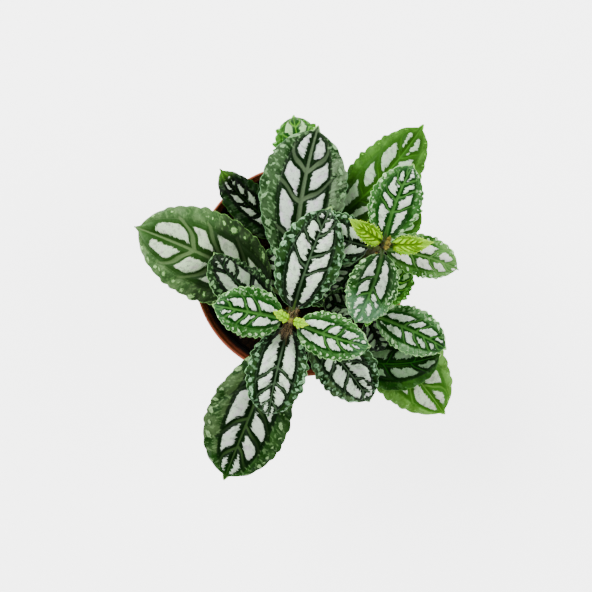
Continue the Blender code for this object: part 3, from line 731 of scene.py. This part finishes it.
def patchDepth(leaf, distances, nerve, along, far, wide, draw):
    # Each patch lies between two veins, the midrib and the nerve, clear of the base and the tip
    look, size = lookAndSize(leaf)
    silver = np.full(along.shape, blade["unmarked"])
    for number in range(len(distances) + 1):
        bounds = [
            far * wide - size * look["ribBand"] * (1.45 - 0.85 * along) * draw.uniform(0.85, 1.15),
            (nerve - far) * wide - size * look["nerveBand"] * (1.7 - 1.0 * along) * draw.uniform(0.85, 1.2),
            (along - 0.03) * bladeLength(leaf) * 0.8,
            (look["tipEnd"] - along) * bladeLength(leaf) * 0.7,
        ]
        if number > 0:
            bounds.append(distances[number - 1] - size * look["veinBand"] * draw.uniform(0.85, 1.2))
        if number < len(distances):
            bounds.append(-distances[number] - size * look["veinBand"] * draw.uniform(0.85, 1.2))
        silver = np.maximum(silver, smoothLeast(bounds, blade["patchCorner"] * size))
    return silver


def dotDepth(leaf, along, far, wide, draw):
    # Most teeth have a dot behind their crest, and some a small one beside it
    look, size = lookAndSize(leaf)
    count = toothCount(leaf)
    dots = np.full(along.shape, blade["unmarked"])
    if look["dotSize"] == 0:
        return dots
    first, last = blade["dotSpan"]
    for number in range(count):
        for place, share, chance in blade["dots"]:
            if draw.random() > chance:
                continue
            middle = (max(0.0, number + place + draw.uniform(-0.06, 0.06)) / count) ** blade["toothCrowding"]
            out = draw.uniform(*blade["dotOut"])
            radius = size * look["dotSize"] * share * draw.uniform(0.4, 1.2)
            lengthwise = (along - middle) * bladeLength(leaf)
            sideways = (far - out) * wide + lengthwise * draw.uniform(-0.7, 0.7)
            depth = radius - np.hypot(lengthwise / draw.uniform(0.8, 1.6), sideways / draw.uniform(0.8, 1.3))
            if first < middle < last:
                dots = np.maximum(dots, depth)
    return dots


def leafMarkings(leaf, along, across, spread, seed):
    # Where the veins run and the silver lies, in mm on a leaf of the usual width
    look, size = lookAndSize(leaf)
    draw = random.Random(seed)
    far, wide = np.abs(across), np.maximum(spread, 0.05)
    silver = dots = np.full(along.shape, blade["unmarked"])
    band = np.zeros(along.shape)
    nearest = far * wide
    veinGap = nearest - size * look["ribHalf"] * (1 - 0.75 * along)
    for half, side in enumerate((-1, 1)):
        onSide = across * side >= 0
        starts = leaf["veins"][half] if leaf["veins"] else look["veins"]
        if not leaf["veins"]:
            starts = [place + draw.uniform(-0.025, 0.025) for place in starts]
        nerve = (leaf["nerve"][half] + draw.uniform(-0.03, 0.03)) * (1 - 0.15 * along ** 3)
        distances = [veinDistance(leaf, place, along, far, wide, draw) for place in starts]
        toNerve = np.abs(far - nerve) * wide
        beyond = np.maximum(0, far - nerve - 0.02) * wide * 0.5
        gaps = [toNerve - size * look["nerveHalf"] * (1 - 0.6 * along)]
        for distance in distances:
            gaps.append(np.abs(distance) + beyond - size * look["veinHalf"] * (1.3 - 0.8 * far))
        lines = [toNerve] + [np.abs(distance) for distance in distances]
        veinGap = np.where(onSide, np.minimum.reduce([veinGap] + gaps), veinGap)
        nearest = np.where(onSide, np.minimum.reduce([nearest] + lines), nearest)
        depth = patchDepth(leaf, distances, nerve, along, far, wide, draw)
        silver = np.where(onSide, np.maximum(silver, depth), silver)
        dots = np.where(onSide, np.maximum(dots, dotDepth(leaf, along, far, wide, draw)), dots)
        band = np.where(onSide, np.clip((far - nerve) * wide / (0.6 * size) + 0.5, 0, 1), band)
    return silver / size, dots / size, veinGap / size, nearest / size, band


def shapeBlade(name, leaf, start, seed, cell):
    columns = 2 * max(8, round(leaf["width"] / cell / 2))
    rows = max(24, round(bladeLength(leaf) / cell))
    piece = blank(name, columns, rows)
    mesh = piece.data
    flat = pointsOf(mesh)
    across = np.clip(flat[:, 0] * 2, -1, 1)
    along = np.clip(flat[:, 1] + 0.5, 0, 1)
    far = np.abs(across)
    look, size = lookAndSize(leaf)
    crest = toothShare(leaf, along, across, seed)
    smoothSpread = halfWidth(leaf, along)
    spread = smoothSpread * (1 + look["tooth"] * (2 * crest - 1) * far ** 3)
    spread = np.maximum(spread, stalkRadius(leaf) * np.clip(1 - along * 12, 0, 1))
    silver, dots, veinGap, nearest, band = leafMarkings(leaf, along, across, spread, seed)
    point, side, up = leafFrame(leaf, midribLine(leaf, start), leaf["stalk"] + (1 - leaf["stalk"]) * along)
    crown = spread * (blade["fold"] * far - blade["droop"] * across ** 2)
    waves = np.sin(blade["waveTurns"] * 2 * math.pi * along + leaf["heading"])
    ripple = blade["wave"] * leaf["width"] * waves
    fullness = np.clip(smoothSpread / leaf["width"] * 6, 0, 1)
    quilt = size * look["quilt"] * (1 - np.exp(-(nearest / blade["quiltWidth"]) ** 2)) * fullness
    raised = blade["patchRaise"] / (1 + np.exp(-silver * 5)) + blade["dotRaise"] / (1 + np.exp(-dots * 4))
    atMargin = np.clip((far - blade["crimpStart"]) / (1 - blade["crimpStart"]), 0, 1)
    crimp = size * look["crimp"] * (crest - 0.5) * atMargin
    padded = (quilt + size * raised) * (1 - 0.5 * far ** 6)
    lift = crown + ripple * across ** 2 + padded + crimp - blade["sink"] * size
    placePoints(mesh, point + side * (spread * across)[:, None] + up * lift[:, None])
    tipLightShare = leaf["tip"][0] * eased((along - leaf["tip"][1]) / blade["tipLength"])
    beforeEnd = (along - leaf["shade"][1]) / blade["shadeLength"] + 1
    baseShade = leaf["shade"][0] * (1 - eased(beforeEnd))
    sheen, dull = band * np.where(across < 0, *leaf["sheen"]), np.where(across < 0, *leaf["dull"])
    values = (silver, dots, veinGap, (1 - far) * spread, band, sheen, dull, tipLightShare, baseShade)
    for field, here in zip(bladeFields, values):
        addField(mesh, field, here)
    reach = spread * across
    slant = along * leaf["length"] - blade["slant"] * np.abs(reach)
    addField(mesh, "flatPlace", np.stack([reach, slant, np.full(along.shape, seed * 7.3)], axis=-1))
    mergeDoubles(piece)
    return piece


def stalkTube(name, leaf, start):
    # The stalk is rooted in the stem and runs on under the blade as the midrib's keel
    share = np.linspace(0.0, leaf["stalk"] + (1 - leaf["stalk"]) * blade["keelEnd"], blade["keelSteps"])
    point, _, up = leafFrame(leaf, midribLine(leaf, start), share)
    bladePlace = bladeShare(leaf, share)
    thick = stalkRadius(leaf) * (0.85 * (1 - bladePlace) ** 1.3 + 0.12)
    sink = 0.55 * stalkRadius(leaf) + (blade["thickness"] + 0.2) * np.clip(bladePlace * 8, 0, 1)
    keel = point - up * sink[:, None]
    root = keel[0] - midribDirection(leaf, 0.0) * blade["rootDepth"]
    line, radii = np.vstack([root, keel]), np.append(thick[0], thick) * 1.05
    return tube(name, line, radii, blade["keelSides"], flatness=blade["keelFlatness"])


def makeBlade(key, leaf, start, seed, cell):
    piece = shapeBlade(key + "_blade", leaf, start, seed, cell)
    piece.data.materials.append(leafSkins[leaf["kind"]])
    piece.data.materials.append(leafBacks[leaf["kind"]])
    applyModifier(piece, "SOLIDIFY", thickness=blade["thickness"] * mm, offset=-1.0,
                  material_offset=1, material_offset_rim=1)
    stalk = stalkTube(key + "_stalk", leaf, start)
    stalk.data.materials.append(stalkSkin)
    return [piece, stalk]


for number, (key, leaf) in enumerate(leaves.items()):
    cell = blade["cell"] * min(1.0, 0.45 + leaf["width"] / 50)
    piece = joined(makeBlade(key, leaf, leafStart(leaf), number + 1, cell), "leaf_" + key + "_fine")
    smoothShaded(piece)
    standsFor(piece, "leaf_" + key, "young_leaf" if leaf["kind"] == "young" else "leaf")
print("leaves made:", len(leaves))


# Buds: a small brown core on each stem's end with young leaves rooted in it

buds = {
    "seat": 0.6, "rise": 50, "dip": 8, "cell": 0.16,
    "rootOut": 0.45, "rootUp": 1.2,                         # where the young leaves leave the core
    "coreHeights": (-1.1, 0.1, 0.8, 1.6, 2.5, 3.2, 3.7, 4.0),
    "coreRadii": (0.81, 0.945, 1.17, 1.35, 1.125, 0.765, 0.405, 0.135),
    "shape": {"widest": 0.42, "shoulder": 0.9, "stalk": 0.08, "sheen": (0.2, 0.2)},
    "scaleLength": 5,                                       # young leaves under this are brown scales
    "bright": ("tall", "right"),                            # stems whose young leaves are yellow-green
    "young": {           # length, width, heading
        "tall": ((10.2, 4.6, 150), (9.0, 4.4, -12)),
        "right": ((3.6, 2.0, 75), (3.6, 2.0, -110)),
        "low": ((7.0, 4.0, 70), (7.0, 4.0, -115)),
        "back": ((8.0, 4.5, 10), (8.0, 4.5, 185)),
        "front": ((8.0, 4.5, 80), (8.0, 4.5, -100)),
    },
}


def coreMaterial():
    material, start = newMaterial("budCore")
    streak = start.ownPlace().stretched(1.0, 1.0, 0.3).noise(1600.0, 3.0)
    color = streak.smooth(0.35, 0.65).between(ink((106, 98, 46)), ink((152, 142, 76)))
    return dressed(material, color, 0.5 + streak * 0.2, 0.2, streak.bumped(0.0003, 0.8))


coreSkin = coreMaterial()

for number, (stem, young) in enumerate(buds["young"].items()):
    top = np.array(stems[stem]["top"], float) + (0, 0, buds["seat"])
    line = top + np.outer(buds["coreHeights"], (0, 0, 1))
    core = tube("core", line, buds["coreRadii"], 20, rise=(1.0, 0.0, 0.0))
    core.data.materials.append(coreSkin)
    pieces = [core]
    for count, (length, width, heading) in enumerate(young):
        kind = "sprout" if stem in buds["bright"] else "lush"
        height = stems[stem]["top"][2]
        leaf = leafOf(stem, height, length, width, heading, buds["rise"], buds["dip"], kind, **buds["shape"])
        root = top + levelDirection(heading) * buds["rootOut"] + (0, 0, buds["rootUp"])
        made = makeBlade("young", leaf, root, 60 + 5 * number + count, buds["cell"])
        if length < buds["scaleLength"]:
            made[0].data.materials[0] = coreSkin
        pieces += made
    bud = joined(pieces, "bud_" + stem + "_fine")
    smoothShaded(bud)
    standsFor(bud, "bud_" + stem, "young_leaf")
print("buds made:", len(buds["young"]))


# Stems: streaked tubes that swell at their nodes, with brown scales and fine hairs there

stemLook = {
    "sides": 28, "steps": 150,
    # The greens and brown are darker than the stem's own: painted shade from the leaves above
    "green": (66, 84, 40), "brown": (62, 52, 28), "pale": (118, 126, 76),
    "scaleLength": 3.6, "scaleWidth": 1.7,
    "hairs": 26, "hairLength": 1.5, "hairRadius": 0.07, "hairSpan": 2.2, "hairBend": 0.2,
}


def stemMaterial():
    material, start = newMaterial("stemSkin")
    place = start.ownPlace()
    streak = place.stretched(1.0, 1.0, 0.12).noise(1100.0, 4.0)
    brown = ink(stemLook["brown"])
    green = streak.smooth(0.35, 0.7).between(ink(stemLook["green"]), ink(stemLook["pale"]))
    color = (place.noise(160.0, 3.0).smooth(0.42, 0.62) * 0.75).between(green, brown)
    color = (start.field("nodeShare") * 0.8).between(color, brown)
    return dressed(material, color, 0.42 + streak * 0.2, 0.25, streak.bumped(0.0004, 0.7))


def dryMaterial(name, dark, light):
    material, start = newMaterial(name)
    streak = start.ownPlace().noise(1500.0, 3.0)
    color = streak.smooth(0.35, 0.65).between(ink(dark), ink(light))
    return dressed(material, color, 0.65 + streak * 0.1, 0.1)


stemSkin = stemMaterial()
scaleSkin = dryMaterial("dryScale", (68, 54, 28), (148, 126, 76))

strand = tube("strand", np.array([(step / 3, 0.0, 0.0) for step in range(4)]), (1.0, 0.72, 0.43, 0.15), 3)
strandPoints = pointsOf(strand.data) / mm


def hair(root, aim, length, radius, bend, skin):
    # A copy of the straight strand, laid out from its root towards its aim and bent
    piece = copied(strand, "hair")
    reach = strandPoints[:, :1]
    side = unit(np.cross(aim, (0.4, 0.3, 0.87)))
    up = np.cross(side, aim)
    section = (side * strandPoints[:, 1:2] + up * strandPoints[:, 2:3]) * radius
    placePoints(piece.data, root + aim * length * reach + bend * length * reach ** 2 + section)
    piece.data.materials.append(skin)
    return piece


def nodeScale(middle, radius, outward):
    # A dry, pointed scale in the leaf stalk's corner
    steps = np.linspace(0, 1, 7)[:, None]
    lean = outward * 0.35 + (0, 0, 0.9)
    ridge = middle + outward * (radius + 0.1) + lean * stemLook["scaleLength"] * steps
    width = stemLook["scaleWidth"] / 2 * np.sin(math.pi * (0.25 + 0.74 * steps[:, 0]))
    scale = tube("scale", ridge, width, 8, flatness=0.22, rise=outward)
    scale.data.materials.append(scaleSkin)
    return scale


def makeStem(name):
    fractions = np.linspace(0, 1, stemLook["steps"])
    line = np.array([stemPoint(name, fraction) for fraction in fractions])
    radii = np.array([stemRadius(name, fraction) for fraction in fractions])
    radii[-1] *= 0.8
    stem = tube("stem_" + name, line, radii, stemLook["sides"], rise=(0.0, 1.0, 0.0))
    place = pointsOf(stem.data) / mm
    heights = np.array(nodeHeights(name))
    nearness = np.exp(-((place[:, 2:3] - heights[None, :]) / 1.6) ** 2).max(axis=1)
    addField(stem.data, "nodeShare", nearness)
    stem.data.materials.append(stemSkin)
    pieces = [stem]
    draw = random.Random(len(name) * 11 + int(heights.sum()))
    for height in heights:
        fraction = stemFraction(name, height + 0.8)
        middle, radius = stemPoint(name, fraction), stemRadius(name, fraction)
        for leaf in leaves.values():
            if leaf["stem"] == name and leaf["height"] == height:
                outward = levelDirection(leaf["heading"] - leaf["turn"] / 2 + 90)
                pieces.append(nodeScale(middle, radius, outward))
        for _ in range(stemLook["hairs"]):
            outward = levelDirection(draw.uniform(0, 360))
            lift = draw.uniform(-stemLook["hairSpan"], stemLook["hairSpan"])
            root = middle + outward * radius * 0.9 + (0, 0, lift)
            aim = unit(outward + (0, 0, draw.uniform(0.1, 0.9)))
            bend = np.array([draw.uniform(-1, 1) * stemLook["hairBend"] for _ in range(3)])
            length = stemLook["hairLength"] * draw.uniform(0.6, 1.2)
            pieces.append(hair(root, aim, length, stemLook["hairRadius"], bend, scaleSkin))
    piece = joined(pieces, "stem_" + name + "_fine")
    smoothShaded(piece)
    standsFor(piece, "stem_" + name, "stem")


for name in stems:
    makeStem(name)

# Dry brown hairs on the tall stem's end, in the middle of the plant: a long tuft on the leaf stalk
# in front and a short one behind the bud
tufts = {
    "strands": (130, 44), "length": (6.6, 3.2), "radius": (0.11, 0.13),
    "heading": (-104, 62), "stray": (17, 30), "lift": (-0.3, 0.3), "lengthShare": (0.55, 1.0),
    "spread": ((-2.0, 2.0), (-1.3, 2.0), (-1.2, 0.6)),
    "bend": ((-0.25, 0.25), (-0.2, 0.2), (-0.35, 0.1)),
    "root": ((-5.7, -26.0, 156.2), (-3.6, -21.4, 156.6)),
    "skins": {"dark": ((26, 21, 15), (78, 66, 46)), "light": ((112, 102, 78), (186, 174, 144))},
    "lightEach": 3,      # one strand in so many is light
}
tuftSkins = {name: dryMaterial(name + "Strand", *colors) for name, colors in tufts["skins"].items()}
draw = random.Random(5)
strands = []
for number, root in enumerate(tufts["root"]):
    for turn in range(tufts["strands"][number]):
        skin = tuftSkins["light" if turn % tufts["lightEach"] == 0 else "dark"]
        spot = np.array(root) + [draw.uniform(*reach) for reach in tufts["spread"]]
        heading = levelDirection(tufts["heading"][number] + draw.uniform(-1, 1) * tufts["stray"][number])
        aim = unit(heading + (0, 0, draw.uniform(*tufts["lift"])))
        bend = np.array([draw.uniform(*reach) for reach in tufts["bend"]])
        length = tufts["length"][number] * draw.uniform(*tufts["lengthShare"])
        strands.append(hair(spot, aim, length, tufts["radius"][number], bend, skin))
piece = joined(strands, "dryTufts")
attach(piece, "root")
bpy.data.objects.remove(strand)
print("stems made:", len(stems))


# Pot: a disc drawn out ring by ring into a thin-walled nursery pot with a rolled rim

pot = {
    "sides": 128, "baseRadius": 37.0, "wallTopRadius": 50.9, "height": 90.0, "wall": 1.3,
    "bandHeight": 10.0, "rimRadius": 52.5, "rollRadius": 0.65, "floor": 1.8,
    "holes": 6, "holeDiameter": 8.0, "holeCircle": 48.0, "footRing": 0.8,
    "clay": (106, 41, 10), "clayLight": (130, 72, 40), "clayDark": (74, 26, 6),
    # The light line on the lip's outer edge is a painted highlight
    "lip": (156, 98, 80), "lipHighlight": (212, 166, 150), "lipInner": (152, 92, 70),
    "lipStart": 88.2, "lipFull": 89.2, "lipRadii": (51.3, 52.0, 52.5),      # where the lip's tones change
    # The inner wall is terracotta by the lip and goes over to painted shade further in
    "inside": (160, 90, 66), "insideShadeAndSoil": (9, 5, 3), "insideShadeRadii": (48.8, 52.0),
}


def potRadius(height):
    return pot["baseRadius"] + (pot["wallTopRadius"] - pot["baseRadius"]) * height / pot["height"]


def potMaterial():
    material, start = newMaterial("pottedClayPlastic")
    place = start.ownPlace()
    height, away = place.part(2), place.stretched(1.0, 1.0, 0.0).length()
    cloud = place.noise(28.0, 4.0)
    speck = place.noise(420.0, 3.0, 0.6)
    scuff = place.stretched(1.0, 1.0, 6.0).noise(55.0, 5.0, 0.7).smooth(0.56, 0.70)
    color = cloud.smooth(0.35, 0.68).between(ink(pot["clay"]), ink(dimmed(pot["clay"], 0.9)))
    color = (speck.smooth(0.55, 0.70) * 0.30).between(color, ink(pot["clayDark"]))
    color = (scuff * 0.30).between(color, ink(pot["clayLight"]))
    lip = height.smooth(pot["lipStart"] * mm, pot["lipFull"] * mm)
    inner, middle, outer = (radius * mm for radius in pot["lipRadii"])
    color = lip.between(color, ink(pot["lip"]))
    color = (lip * (1.0 - away.smooth(inner, middle))).between(color, ink(pot["lipInner"]))
    # A painted highlight along the rim's outer edge
    color = (lip * away.smooth(middle, outer) * 0.8).between(color, ink(pot["lipHighlight"]))
    soilLine = 1.0 - height.smooth(0.002, 0.010)
    color = (soilLine * cloud * 0.5).between(color, ink((96, 66, 50)))
    roughness = 0.50 + scuff * 0.14 + speck * 0.05
    return dressed(material, color, roughness, 0.12, (speck * 0.5 + cloud * 0.3).bumped(0.00025, 0.5))


def insideMaterial():
    # The inner wall: painted shade, darker further in and down from the lip, with dark specks of soil
    material, start = newMaterial("pottedClayInside")
    place = start.ownPlace()
    cloud = place.noise(160.0, 4.0)
    speck = place.noise(900.0, 3.0, 0.6)
    inner, outer = (radius * mm for radius in pot["insideShadeRadii"])
    away = place.stretched(1.0, 1.0, 0.0).length()
    litShare = (away + (cloud - 0.5) * 0.0008).smooth(inner, outer)
    color = litShare.between(ink(pot["insideShadeAndSoil"]), ink(pot["inside"]))
    color = (speck.smooth(0.56, 0.68) * 0.5).between(color, ink(pot["insideShadeAndSoil"]))
    return dressed(material, color, 0.6 + speck * 0.2, 0.12, (speck * 0.6 + cloud * 0.4).bumped(0.0004, 0.6))


def drawnOut(name, profile, sides):
    # Starts from a disc and draws its face through a profile of (radius, height), in mm
    nothingSelected()
    radius, height = profile[0]
    place = (0, 0, height * mm)
    bpy.ops.mesh.primitive_circle_add(vertices=sides, radius=radius * mm, fill_type="NGON", location=place)
    piece = bpy.context.object
    piece.name = name
    onlySelected(piece)
    bpy.ops.object.transform_apply(location=True)
    bpy.ops.object.mode_set(mode="EDIT")
    bpy.ops.mesh.select_mode(type="FACE")
    bpy.ops.mesh.select_all(action="SELECT")
    for (radius, height), (nextRadius, nextHeight) in zip(profile, profile[1:]):
        bpy.ops.mesh.extrude_region_move(TRANSFORM_OT_translate={"value": (0, 0, (nextHeight - height) * mm)})
        share = nextRadius / radius
        bpy.ops.transform.resize(value=(share, share, 1), center_override=(0, 0, nextHeight * mm))
    bpy.ops.mesh.select_all(action="SELECT")
    bpy.ops.mesh.normals_make_consistent(inside=False)
    bpy.ops.object.mode_set(mode="OBJECT")
    return piece


def potProfile():
    foot, wall, rim, top, floor = (pot[key] for key in ("baseRadius", "wall", "rimRadius", "height", "floor"))
    band, roll = top - pot["bandHeight"], pot["rollRadius"]
    profile = [(foot - 3.2, pot["footRing"]), (foot - 2.6, 0.0), (foot - 1.3, 0.0), (foot - 0.5, 0.45)]
    for height in (1.5, *np.linspace(8, band - 2.0, 10), band - 0.5):
        profile.append((potRadius(height), height))
    profile += [(potRadius(band) + 0.5, band), (rim - 0.75, band + 0.15), (rim - 0.3, band + 0.5)]
    profile += [(rim - 0.15, band + 2.5), (rim - 0.15, top - 2.6), (rim, top - 1.9)]
    for degrees in range(0, 181, 30):
        angle = math.radians(degrees)
        profile.append((rim - roll + roll * math.cos(angle), top - roll + roll * math.sin(angle)))
    profile += [(rim - wall - 0.3, top - 3.0), (rim - wall - 0.6, band + 1.0)]
    profile.append((potRadius(band) - wall, band - 1.0))
    profile += [(potRadius(height) - wall, height) for height in np.linspace(band - 8, 6, 8)]
    profile += [(potRadius(floor) - wall - 0.4, floor + 0.8), (potRadius(floor) - wall - 1.4, floor)]
    return profile


def makePot():
    piece = drawnOut("pot_fine", potProfile(), pot["sides"])
    circle, radius = pot["holeCircle"] / 2 * mm, pot["holeDiameter"] / 2 * mm
    for number in range(pot["holes"]):
        angle = 2 * math.pi * number / pot["holes"]
        spot = (circle * math.cos(angle), circle * math.sin(angle), 0.001)
        nothingSelected()
        bpy.ops.mesh.primitive_cylinder_add(vertices=32, radius=radius, depth=0.01, location=spot)
        cutter = bpy.context.object
        applyModifier(piece, "BOOLEAN", object=cutter, operation="DIFFERENCE", solver="EXACT")
        bpy.data.objects.remove(cutter)
    piece.data.materials.append(potMaterial())
    piece.data.materials.append(insideMaterial())
    for face in piece.data.polygons:
        height = face.center[2] / mm
        inward = face.normal[0] * face.center[0] + face.normal[1] * face.center[1] < 0
        if (inward or face.normal[2] > 0.2) and pot["floor"] + 0.5 < height < pot["height"] - 0.5:
            face.material_index = 1
    smoothShaded(piece, 35)
    standsFor(piece, "pot", "pot_plastic")


makePot()
print("pot made")


# Soil: a plug of dark compost whose top is humped, with crumbs and a few light grains on it

soil = {
    "top": 78.0, "bottom": 2.15, "slack": 0.45, "bump": 1.1, "sides": 160, "rings": 60,
    "wallRows": (0.1, 0.2),          # the share of the rings, from the underside's middle, that is the wall
    "waves": ((0.31, 0.17, 0.0), (-0.29, 0.23, 1.3), (0.53, -0.41, 0.0)),
    "lumps": 26, "lumpSize": (0.35, 1.5), "lumpHeight": 0.11,
    "crumbs": 520, "crumbRadius": (0.5, 1.7), "grains": 46, "grainRadius": (0.35, 0.9),
    "skins": {                       # dark, light, scale
        "compost": ((14, 9, 6), (52, 36, 26), 420.0),
        "crumb": ((20, 13, 8), (74, 52, 36), 500.0),
        "paleGrain": ((120, 112, 104), (184, 178, 168), 700.0),
    },
}


def soilHeight(x, y):
    waves = sum(np.sin(inX * x + inY * y + phase) for inX, inY, phase in soil["waves"])
    return soil["top"] + soil["bump"] * waves / len(soil["waves"])


def soilMaterial(name, dark, light, scale):
    material, start = newMaterial(name)
    place = start.ownPlace()
    grain = place.noise(scale, 5.0, 0.7)
    fine = place.noise(scale * 4, 3.0, 0.6)
    color = (grain * 0.7 + fine * 0.3).smooth(0.42, 0.66).between(ink(dark), ink(light))
    return dressed(material, color, 0.85 + fine * 0.1, 0.1, (grain + fine * 0.5).bumped(0.0012, 1.0))


def soilBody(reach, draw):
    # The grid's rows run out over the underside, up the wall and in over the top to its middle
    piece = blank("soil_body", soil["sides"], soil["rings"])
    place = pointsOf(piece.data)
    angle = (place[:, 0] + 0.5) * 2 * math.pi
    row = place[:, 1] + 0.5
    wallFoot, wallTop = soil["wallRows"]
    bottomReach = potRadius(soil["bottom"]) - pot["wall"] - soil["slack"] - 1.4
    radius = np.interp(row, (0, wallFoot, wallTop, 1), (0, bottomReach, reach, 0))
    height = np.interp(row, (wallFoot, wallTop), (soil["bottom"], soil["top"] - 2))
    x, y = radius * np.cos(angle), radius * np.sin(angle)
    lumps = np.zeros(len(row))
    for _ in range(soil["lumps"]):
        size = draw.uniform(*soil["lumpSize"])
        turn = draw.uniform(0, 2 * math.pi)
        wave = np.sin(size * (x * math.cos(turn) + y * math.sin(turn)) + draw.uniform(0, 6.3))
        lumps += wave * soil["lumpHeight"]
    humps = np.minimum(soilHeight(x, y) + lumps - 0.5, soil["top"] + soil["bump"])
    height = np.where(row > wallTop + 0.001, humps, height)
    placePoints(piece.data, np.stack([x, y, height], axis=-1))
    mergeDoubles(piece, outward=True)
    return piece


def crumbOf(lump, dark, reach, draw):
    # A rough copy of the lump somewhere on the soil: a dark crumb or else a pale grain
    ball = unit(pointsOf(lump.data))
    low, high = soil["crumbRadius"] if dark else soil["grainRadius"]
    size = draw.uniform(low, high) if draw.random() < 0.4 else draw.uniform(low, (low + high) / 2)
    away, turn = reach * math.sqrt(draw.random()), draw.uniform(0, 2 * math.pi)
    x, y = away * math.cos(turn), away * math.sin(turn)
    height = soilHeight(x, y) - 0.35 + size * 0.15
    rough = 1 + np.array([[draw.uniform(-0.28, 0.28)] for _ in ball])
    stretch = np.array((draw.uniform(0.7, 1.3), draw.uniform(0.7, 1.2), draw.uniform(0.55, 0.9)))
    twin = copied(lump, "crumb")
    placePoints(twin.data, ball * rough * stretch * size + (x, y, height))
    twin.data.polygons.foreach_set("material_index", [1 if dark else 2] * len(twin.data.polygons))
    return twin


def makeSoil():
    draw = random.Random(9)
    reach = potRadius(soil["top"]) - pot["wall"] - soil["slack"] - 0.2
    piece = soilBody(reach, draw)
    nothingSelected()
    bpy.ops.mesh.primitive_ico_sphere_add(subdivisions=1, radius=1.0)
    lump = bpy.context.object
    for name, look in soil["skins"].items():
        skin = soilMaterial(name, *look)
        piece.data.materials.append(skin)
        lump.data.materials.append(skin)
    pieces = [piece]
    for number in range(soil["crumbs"] + soil["grains"]):
        pieces.append(crumbOf(lump, number < soil["crumbs"], reach - 1.8, draw))
    bpy.data.objects.remove(lump)
    piece = joined(pieces, "soil_fine")
    smoothShaded(piece, 50)
    standsFor(piece, "soil", "soil")


makeSoil()
print("soil made")


# Floor, light and camera, in metres

studio = {
    "cameraPlace": (-0.00206, -0.01258), "cameraAboveRim": 0.800, "sensor": 36.0,
    "imageWidthAtRim": 0.2932,       # how much of the rim's plane the image spans
    "floorSize": 80.0, "floorGlow": 3.6, "worldStrength": 0.12, "aim": (0, 0, 0.1),
    "lights": {"key": ((-0.75, 0.65, 1.3), 0.9, 44.0), "fill": ((1.0, 0.1, 1.2), 0.9, 20.0)},
}

nothingSelected()
bpy.ops.mesh.primitive_plane_add(size=studio["floorSize"])
floor = bpy.context.object
floor.name = "floor"
floorPaper = dressed(newMaterial("floorPaper")[0], (0.9, 0.9, 0.9, 1), 0.95, 0.0)
floorShader = floorPaper.node_tree.nodes["Principled BSDF"]
floorShader.inputs["Emission Color"].default_value = (1, 1, 1, 1)
floorShader.inputs["Emission Strength"].default_value = studio["floorGlow"]
floor.data.materials.append(floorPaper)

cameraData = bpy.data.cameras.new("camera")
camera = bpy.data.objects.new("camera", cameraData)
bpy.context.scene.collection.objects.link(camera)
camera.location = (*studio["cameraPlace"], pot["height"] * mm + studio["cameraAboveRim"])
cameraData.sensor_width = studio["sensor"]
cameraData.lens = studio["sensor"] * studio["cameraAboveRim"] / studio["imageWidthAtRim"]
bpy.context.scene.camera = camera


def areaLight(name, place, size, power):
    data = bpy.data.lights.new(name, "AREA")
    data.shape = "DISK"
    data.size = size
    data.energy = power
    light = bpy.data.objects.new(name, data)
    bpy.context.scene.collection.objects.link(light)
    light.location = place
    light.rotation_euler = (Vector(studio["aim"]) - Vector(place)).to_track_quat("-Z", "Y").to_euler()


for name, light in studio["lights"].items():
    areaLight(name, *light)
world = bpy.data.worlds.new("studio")
bpy.context.scene.world = world
world.use_nodes = True
world.node_tree.nodes["Background"].inputs["Color"].default_value = (1, 1, 1, 1)
world.node_tree.nodes["Background"].inputs["Strength"].default_value = studio["worldStrength"]
print("studio made")
